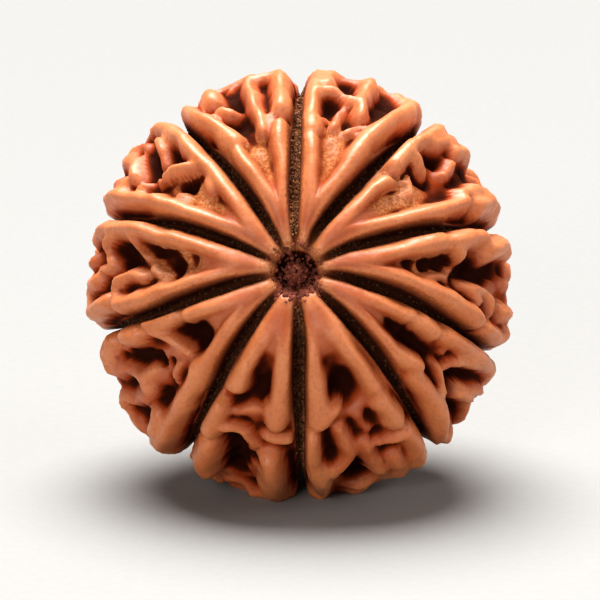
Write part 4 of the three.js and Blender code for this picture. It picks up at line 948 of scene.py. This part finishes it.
@dataclass
class RidgedStone:
    """The stone itself: one skin from pole to pole, with ten lobes, their ridges and the sunken stalk end."""

    relief: Relief
    finish: OiledStoneFinish = field(default_factory=OiledStoneFinish)
    columns_per_lobe: int = 48
    wall_columns: int = 5
    wall_share_at_most: float = 0.17
    rows: int = 200
    crest_highlight_height: float = 0.35
    sand_height: float = 0.035
    sand_size: float = 0.30

    def build(self) -> bpy.types.Object:
        """Builds the stone and dresses it.

        Returns:
            The finished piece.
        """
        frame = self.relief.frame
        rows = self._angles()
        clock = self._columns(rows)
        shape = clock.shape
        u, phi = np.repeat(rows, shape[1]), clock.ravel()
        height, furrow = self.relief.heights(u, phi)
        height = np.where(furrow > 0.02, height, self._softened(height.reshape(shape)).ravel())
        surface = frame.crest(u, phi) + frame.outward(u, phi) * height[:, None]
        poles = [[0, 0, self._pole(0.02)], [0, 0, -self._pole(179.98)]]
        vertices = np.vstack([surface, poles])
        rings = self._rings(rows, shape[1])
        stalk_pole, far_pole = len(surface), len(surface) + 1
        faces = self._joined(rings)
        faces += self._capped(rings[0], stalk_pole, turned=True)
        faces += self._capped(rings[-1], far_pole, turned=False)

        used = np.unique(np.concatenate([*rings, [stalk_pole, far_pole]]))
        number = np.full(len(vertices), -1)
        number[used] = np.arange(len(used))
        faces = [tuple(int(number[i]) for i in face) for face in faces]
        piece = new_piece("ridged_stone", frame.lying(vertices[used]), faces)
        lying_height = frame.lying(surface)[:, 2]
        for name, values in self._marks(u, phi, height, furrow, lying_height, shape).items():
            give_attribute(piece, name, values[used])
        material = self.finish.material()
        self._skin(material).bake(piece, material)
        return piece

    def _angles(self) -> Array:
        """Row angles, closer together at the stalk end."""
        t = np.linspace(0, 1, self.rows)
        return 0.9 + 178.2 * (t - 0.018 * np.sin(2 * math.pi * np.minimum(t * 2, 1)))

    def _columns(self, u: Array) -> Array:
        """Clock angle of every column in every row, close together on the furrow walls."""
        furrows = self.relief.furrows
        um = np.where(u <= 90, u, 180 - u)
        ring = self.relief.frame.ring(um)
        n, inner = self.wall_columns, self.columns_per_lobe - 4 * self.wall_columns
        parts = []
        for k in range(furrows.count):
            a, b = furrows.angle(k, u), furrows.angle(k + 1, u)
            width = np.radians(b - a) * ring
            near, far = [np.minimum(self.wall_share_at_most, 0.8 * furrows.width_at(i, um) / width)
                         for i in (k, k + 1)]
            steps = [np.outer(near, np.arange(n) / n), near[:, None] * (1 + 1.2 * np.arange(n) / n)]
            start, stop = 2.2 * near, 1 - 2.2 * far
            steps.append(start[:, None] + np.outer(stop - start, np.arange(inner) / inner))
            steps.append(1 - far[:, None] * (2.2 - 1.2 * np.arange(n) / n))
            steps.append(1 - np.outer(far, 1 - np.arange(n) / n))
            parts.append(a[:, None] + np.concatenate(steps, axis=1) * (b - a)[:, None])
        return np.concatenate(parts, axis=1)

    @staticmethod
    def _blurred(grid: Array, rows: int, columns: int) -> Array:
        """A grid averaged over a window; its columns run round, its rows stop at the poles."""
        tall = np.pad(grid, ((rows, rows), (0, 0)), mode="edge")
        padded = np.pad(tall, ((0, 0), (columns, columns)), mode="wrap")
        sums = np.cumsum(np.pad(padded, ((1, 0), (0, 0))), axis=0)
        tall = (sums[2 * rows + 1:] - sums[:-2 * rows - 1]) / (2 * rows + 1)
        sums = np.cumsum(np.pad(tall, ((0, 0), (1, 0))), axis=1)
        return (sums[:, 2 * columns + 1:] - sums[:, :-2 * columns - 1]) / (2 * columns + 1)

    def _softened(self, grid: Array) -> Array:
        """Heights with the steps between columns taken off, most of all where the surface is steep."""
        grid = 0.4 * grid + 0.6 * self._blurred(grid, 1, 1)
        for reach, low, high in ((1, 0.08, 0.2), (2, 0.13, 0.28)):
            soft = self._blurred(grid, reach, reach)
            steep = smoothstep(low, high, self._blurred(np.abs(soft - grid), reach, reach))
            grid = grid * (1 - steep) + soft * steep
        return grid

    def _marks(self, u: Array, phi: Array, height: Array, furrow: Array, lying_height: Array,
               shape: tuple[int, int]) -> dict[str, Array]:
        """Numbers for every vertex that the finishes and the grains read, the two poles last."""
        grid = height.reshape(shape)
        # how far each place sits below its surroundings, which the finish turns into painted shade in
        # creases, hollows and pits
        narrow = self._blurred(grid, 3, 4) - grid
        wide = self._blurred(grid, 7, 9) - grid
        sunk = np.maximum(0, -grid - self.relief.floor_depth)
        hollow = np.clip(0.9 * wide + 1.35 * narrow + 0.8 * sunk, 0, 1.0).ravel()
        # how far each place stands above its neighbours: painted highlight on the ridge tops, painted shade
        # off them
        crest_highlight = np.clip((grid - self._blurred(grid, 6, 8)) / self.crest_highlight_height, 0, 1).ravel()
        # nearness to a furrow floor, for painted shade on the furrow walls
        side = self._blurred(furrow.reshape(shape), 1, 5).ravel()
        # shallow floors near the stalk end on the upper part of the seed only (9 to 16 mm up): painted pale
        # as if lit, and roughened with sand
        valley = (smoothstep(0.5, 0.9, -height) * (1 - smoothstep(1.5, 2.0, -height))
                  * (1 - smoothstep(40, 54, np.minimum(u, 180 - u)))
                  * smoothstep(9, 16, lying_height) * (1 - smoothstep(0.2, 0.5, furrow)))
        ring = self.relief.frame.ring(u)
        # per furrow share of pale dust, partly painted light
        dust_and_light = self.relief.furrows.dust_and_light_at(u, phi, ring)
        marks = {"hollow": hollow, "valley": valley, "furrow": furrow, "side": side, "crest_highlight": crest_highlight}
        marks = {name: np.append(values, [0.5, 0.5]) for name, values in marks.items()}
        marks["ring"], marks["dust_and_light"] = np.append(ring, [0, 0]), np.append(dust_and_light, [0, 0])
        marks["far"] = np.append(smoothstep(80, 100, u), [0, 1])
        return marks

    def _rings(self, u: Array, columns: int) -> list[Array]:
        """Vertex numbers of each row's ring; rows round a pole keep only some of the columns."""
        rings = []
        for row, ring in enumerate(self.relief.frame.ring(u)):
            keep = 16 if ring < 0.45 else 4 if ring < 1.1 else 1
            rings.append(row * columns + np.arange(0, columns, keep))
        return rings

    @staticmethod
    def _joined(rings: list[Array]) -> list[tuple[int, ...]]:
        """Faces between neighbouring rings, turned outwards."""
        faces: list[tuple[int, ...]] = []
        for a, b in zip(rings[:-1], rings[1:]):
            if len(a) == len(b):
                quads = np.stack([a, np.roll(a, -1), np.roll(b, -1), b], -1)
                faces += list(map(tuple, quads.tolist()))
                continue
            turned = len(a) > len(b)
            few, many = (b, a) if turned else (a, b)
            ratio = len(many) // len(few)
            for i in range(len(few)):
                fan = [int(many[(i * ratio + j) % len(many)]) for j in range(ratio + 1)]
                face = [int(few[i]), int(few[(i + 1) % len(few)]), *reversed(fan)]
                faces.append(tuple(reversed(face)) if turned else tuple(face))
        return faces

    @staticmethod
    def _capped(ring: Array, pole: int, turned: bool) -> list[tuple[int, ...]]:
        """Triangles from a pole to its ring."""
        pairs = zip(ring.tolist(), np.roll(ring, -1).tolist())
        return [(pole, b, a) if turned else (pole, a, b) for a, b in pairs]

    def _pole(self, angle: float) -> float:
        """Distance of a pole's surface from the middle."""
        height, _ = self.relief.heights(np.array([angle]), np.array([0.0]))
        return self.relief.frame.pole_half_height + float(height[0])

    def _skin(self, material: bpy.types.Material) -> NodeShape:
        """The tree that roughens the unrubbed floors with sand and wears the resting spot flat."""
        sizes = {"Sand height": self.sand_height * MM, "Sand size": self.sand_size * MM, "Resting plane": 0.0}
        shape = NodeShape("stone_skin", sizes)
        tree, start = shape.tree, shape.start
        position = add_node(tree, "GeometryNodeInputPosition").outputs[0]
        normal = add_node(tree, "GeometryNodeInputNormal").outputs[0]
        fineness = work_out(tree, "DIVIDE", 1.0, start["Sand size"])
        inputs = {"Vector": position, "Scale": fineness, "Detail": 1.0}
        sand = add_node(tree, "ShaderNodeTexNoise", inputs).outputs[0]
        rough = work_out(tree, "MAXIMUM", shape.attribute("valley"), shape.attribute("furrow"))
        rough = work_out(tree, "ADD", rough, 0.12)
        lift = work_out(tree, "MULTIPLY", work_out(tree, "SUBTRACT", sand, 0.5), rough)
        lift = work_out(tree, "MULTIPLY", lift, work_out(tree, "MULTIPLY", start["Sand height"], 4.0))
        inputs = {0: normal, "Scale": lift}
        offset = add_node(tree, "ShaderNodeVectorMath", inputs, operation="SCALE").outputs[0]
        inputs = {0: start["Geometry"], "Offset": offset}
        sandy = add_node(tree, "GeometryNodeSetPosition", inputs).outputs[0]
        split = add_node(tree, "ShaderNodeSeparateXYZ", {0: position}).outputs
        level = work_out(tree, "MAXIMUM", split[2], start["Resting plane"])
        worn = add_node(tree, "ShaderNodeCombineXYZ", {0: split[0], 1: split[1], 2: level}).outputs[0]
        flat = add_node(tree, "GeometryNodeSetPosition", {0: sandy, "Position": worn}).outputs[0]
        shape.close(flat, material)
        return shape


@dataclass
class Crumbs:
    """Grains scattered on part of the stone: the knob in the stalk end, or the grit along the furrows.

    Sizes are in millimetres, and roundness is how often a grain's faces are split.
    """

    kind: Grain
    finish: CrumbFinish
    spacing: float
    smallest: float
    largest: float
    roundness: int
    seed: int
    most_per_square_metre: float = 4.0e8

    def build(self, stone: bpy.types.Object) -> bpy.types.Object:
        """Scatters the grains on a copy of the stone and bakes them.

        Args:
            stone: the finished stone, whose attributes say where grains can lie.

        Returns:
            The finished piece.
        """
        piece = linked(f"{self.kind.value}_grains", stone.data.copy())
        material = self.finish.material()
        sizes = {"Spacing": self.spacing * MM, "Smallest": self.smallest * MM, "Largest": self.largest * MM}
        shape = NodeShape(f"{self.kind.value}_scatter", sizes)
        tree, start, seed = shape.tree, shape.start, self.seed
        inputs = {"Mesh": start["Geometry"], "Distance Min": start["Spacing"], "Seed": seed,
                  "Density Max": self.most_per_square_metre, "Density Factor": self._cover(shape)}
        spots = add_node(tree, "GeometryNodeDistributePointsOnFaces", inputs, distribute_method="POISSON")
        grain = add_node(tree, "GeometryNodeMeshIcoSphere", {"Radius": 0.5, "Subdivisions": self.roundness})
        size = shape.random(start["Smallest"], start["Largest"], seed + 1)
        squash = [work_out(tree, "MULTIPLY", size, shape.random(0.75, 1.15, seed + 2 + i)) for i in range(3)]
        scale = add_node(tree, "ShaderNodeCombineXYZ", dict(enumerate(squash))).outputs[0]
        inputs = {0: (0, 0, 0), 1: (6.28, 6.28, 6.28), 8: seed + 5}
        turn = add_node(tree, "FunctionNodeRandomValue", inputs, data_type="FLOAT_VECTOR").outputs[0]
        inputs = {"Points": spots.outputs[0], "Instance": grain.outputs[0], "Rotation": turn, "Scale": scale}
        placed = add_node(tree, "GeometryNodeInstanceOnPoints", inputs).outputs[0]
        inputs = {0: placed, "Name": "tint", "Value": shape.random(0.0, 1.0, seed + 6)}
        tinted = add_node(tree, "GeometryNodeStoreNamedAttribute", inputs, data_type="FLOAT",
                          domain="INSTANCE").outputs[0]
        shape.close(tinted, material)
        shape.bake(piece, material)
        return piece

    def _cover(self, shape: NodeShape) -> Socket:
        """How thickly grains lie at each place, from 0 to 1."""
        tree, ring = shape.tree, shape.attribute("ring")
        if self.kind is Grain.KNOB:
            near_end = work_out(tree, "SUBTRACT", 1.0, shape.attribute("far"))
            knob = span(tree, ring, 0.74, 0.82, 1.0, 0.0)
            position = add_node(tree, "GeometryNodeInputPosition").outputs[0]
            height = add_node(tree, "ShaderNodeSeparateXYZ", {0: position}).outputs[2]
            below = span(tree, height, 13.3 * MM, 14.5 * MM, 1.0, 0.22)
            lip = work_out(tree, "MULTIPLY", span(tree, ring, 1.35, 2.05, 0.95, 0.0), below)
            return work_out(tree, "MULTIPLY", near_end, work_out(tree, "MAXIMUM", knob, lip))
        clear = work_out(tree, "MULTIPLY", span(tree, ring, 1.6, 2.4, 0.0, 1.0), 0.8)
        kept = span(tree, shape.attribute("dust_and_light"), 0.0, 0.6, 0.12, 1.0)
        on_floor = span(tree, shape.attribute("furrow"), 0.6, 0.95, 0.0, 1.0)
        return work_out(tree, "MULTIPLY", work_out(tree, "MULTIPLY", on_floor, kept), clear)


@dataclass(frozen=True)
class Panel:
    """A square soft light that faces the seed: place and size in millimetres, power in watts."""

    name: str
    place: tuple[float, float, float]
    size: float
    power: float


@dataclass
class Studio:
    """A plain pale floor, soft studio light, and the camera at the photograph's angle.

    Lengths are in millimetres and angles in degrees.
    """

    frame: SeedFrame
    look_down_off_axis: float = 5.1
    look_right_off_axis: float = 1.4
    distance: float = 220.0
    field_width: float = 35.0
    sensor_width: float = 36.0
    aim_lower: float = 0.8
    overhead_place: tuple[float, float, float] = (-14, 56, 208)
    overhead_spread: float = 48
    overhead_strength: float = 8.1
    panels: tuple[Panel, ...] = (
        Panel("front", (-80, -250, 95), 80, 0.30),
        Panel("right", (190, -40, 110), 120, 0.12),
    )
    surround: str = "#F2DCC8"
    surround_strength: float = 0.075
    floor_tones: tuple[str, str] = ("#8B8A88", "#91908E")
    floor_rings: tuple[int, ...] = (1000, 1300, 1700, 2100, 2600, 3200, 3900)
    floor_sides: int = 64
    floor_rise: float = 0.00012

    def build(self) -> None:
        """Makes the floor, the lights and the camera."""
        self._floor()
        self._lights()
        self._camera()

    def _camera(self) -> None:
        """Stands the camera below and a little right of the stalk end's axis, as the photograph does."""
        down, right = math.radians(self.look_down_off_axis), math.radians(self.look_right_off_axis)
        ahead = math.sqrt(1 - math.sin(right) ** 2 - math.sin(down) ** 2)
        towards = Vector(self.frame.turned([math.sin(right), -math.sin(down), ahead])).normalized()
        data = bpy.data.cameras.new("camera")
        data.sensor_width = self.sensor_width
        data.lens = self.sensor_width * self.distance / self.field_width
        data.clip_start, data.clip_end = 0.005, 20.0
        side = Vector((0, 0, 1)).cross(towards).normalized()
        upward = towards.cross(side)
        centre = Vector(self.frame.middle) - upward * self.aim_lower
        turn = Matrix((side, upward, towards)).transposed().to_4x4()
        camera = linked("camera", data)
        camera.matrix_world = Matrix.Translation((centre + towards * self.distance) * MM) @ turn
        bpy.context.scene.camera = camera

    def _lights(self) -> None:
        """A wide soft light above and behind, weaker ones front left and right, and a pale surround."""
        overhead = bpy.data.lights.new("overhead", "SUN")
        overhead.angle = math.radians(self.overhead_spread)
        overhead.energy = self.overhead_strength
        self._face(linked("overhead", overhead), -Vector(self.overhead_place))
        for panel in self.panels:
            data = bpy.data.lights.new(panel.name, "AREA")
            data.size = panel.size * MM
            data.energy = panel.power
            lamp = linked(panel.name, data)
            lamp.location = Vector(panel.place) * MM
            self._face(lamp, Vector(self.frame.middle) * MM - lamp.location)
        world = bpy.data.worlds.new("surround")
        world.use_nodes = True
        backdrop = world.node_tree.nodes["Background"]
        backdrop.inputs["Color"].default_value = srgb(self.surround)
        backdrop.inputs["Strength"].default_value = self.surround_strength
        bpy.context.scene.world = world

    @staticmethod
    def _face(lamp: bpy.types.Object, direction: Vector) -> None:
        """Turns a lamp to shine in a direction."""
        lamp.rotation_euler = direction.to_track_quat("-Z", "Y").to_euler()

    def _floor(self) -> None:
        """A wide plain sheet under the seed, flat for a metre around it and rising gently far off."""
        reach = np.array(self.floor_rings, float)
        height = self.floor_rise * (reach - reach[0]) ** 2
        sides = self.floor_sides
        turn = np.arange(sides) * 2 * math.pi / sides
        rings = [np.stack([r * np.cos(turn), r * np.sin(turn), np.full(sides, h)], -1)
                 for r, h in zip(reach, height)]
        faces: list[Any] = [tuple(range(sides))]
        for row in range(len(reach) - 1):
            a = row * sides + np.arange(sides)
            b = np.roll(a, -1)
            faces += list(map(tuple, np.stack([a, a + sides, b + sides, b], -1).tolist()))
        floor = new_piece("floor", np.vstack(rings), faces)
        floor.data.shade_smooth()
        material, tree, shader = new_material("pale_paper")
        tone = blend_colour(tree, blobs(tree, 0.6, 4.0), *[srgb(code) for code in self.floor_tones])
        tree.links.new(tone, shader.inputs["Base Color"])
        shader.inputs["Roughness"].default_value = 0.9
        floor.data.materials.append(material)


def main() -> None:
    """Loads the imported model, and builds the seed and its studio."""
    logging.basicConfig(level=logging.INFO, format="%(name)s: %(message)s")
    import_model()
    frame = SeedFrame()
    relief = Relief(frame, Furrows())

    stone = RidgedStone(relief).build()
    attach(stone, "root")
    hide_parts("stone")
    log.info("%s: %d faces", stone.name, len(stone.data.polygons))

    crumbs = [
        Crumbs(Grain.KNOB, CrumbFinish("dry_stalk_crumb", "#431A10", "#9A5440"),
               spacing=0.13, smallest=0.16, largest=0.33, roundness=2, seed=11),
        Crumbs(Grain.FURROW, CrumbFinish("furrow_dust", "#33180B", "#A06A42", pale_where_dusty_and_lit=True),
               spacing=0.09, smallest=0.06, largest=0.24, roundness=1, seed=31),
    ]
    for crumb in crumbs:
        piece = crumb.build(stone)
        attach(piece, "root")
        log.info("%s: %d faces", piece.name, len(piece.data.polygons))

    Studio(frame).build()
    bpy.context.scene.view_settings.view_transform = "Standard"
    bpy.context.scene.view_settings.look = "Medium High Contrast"


if __name__ == "__main__":
    main()
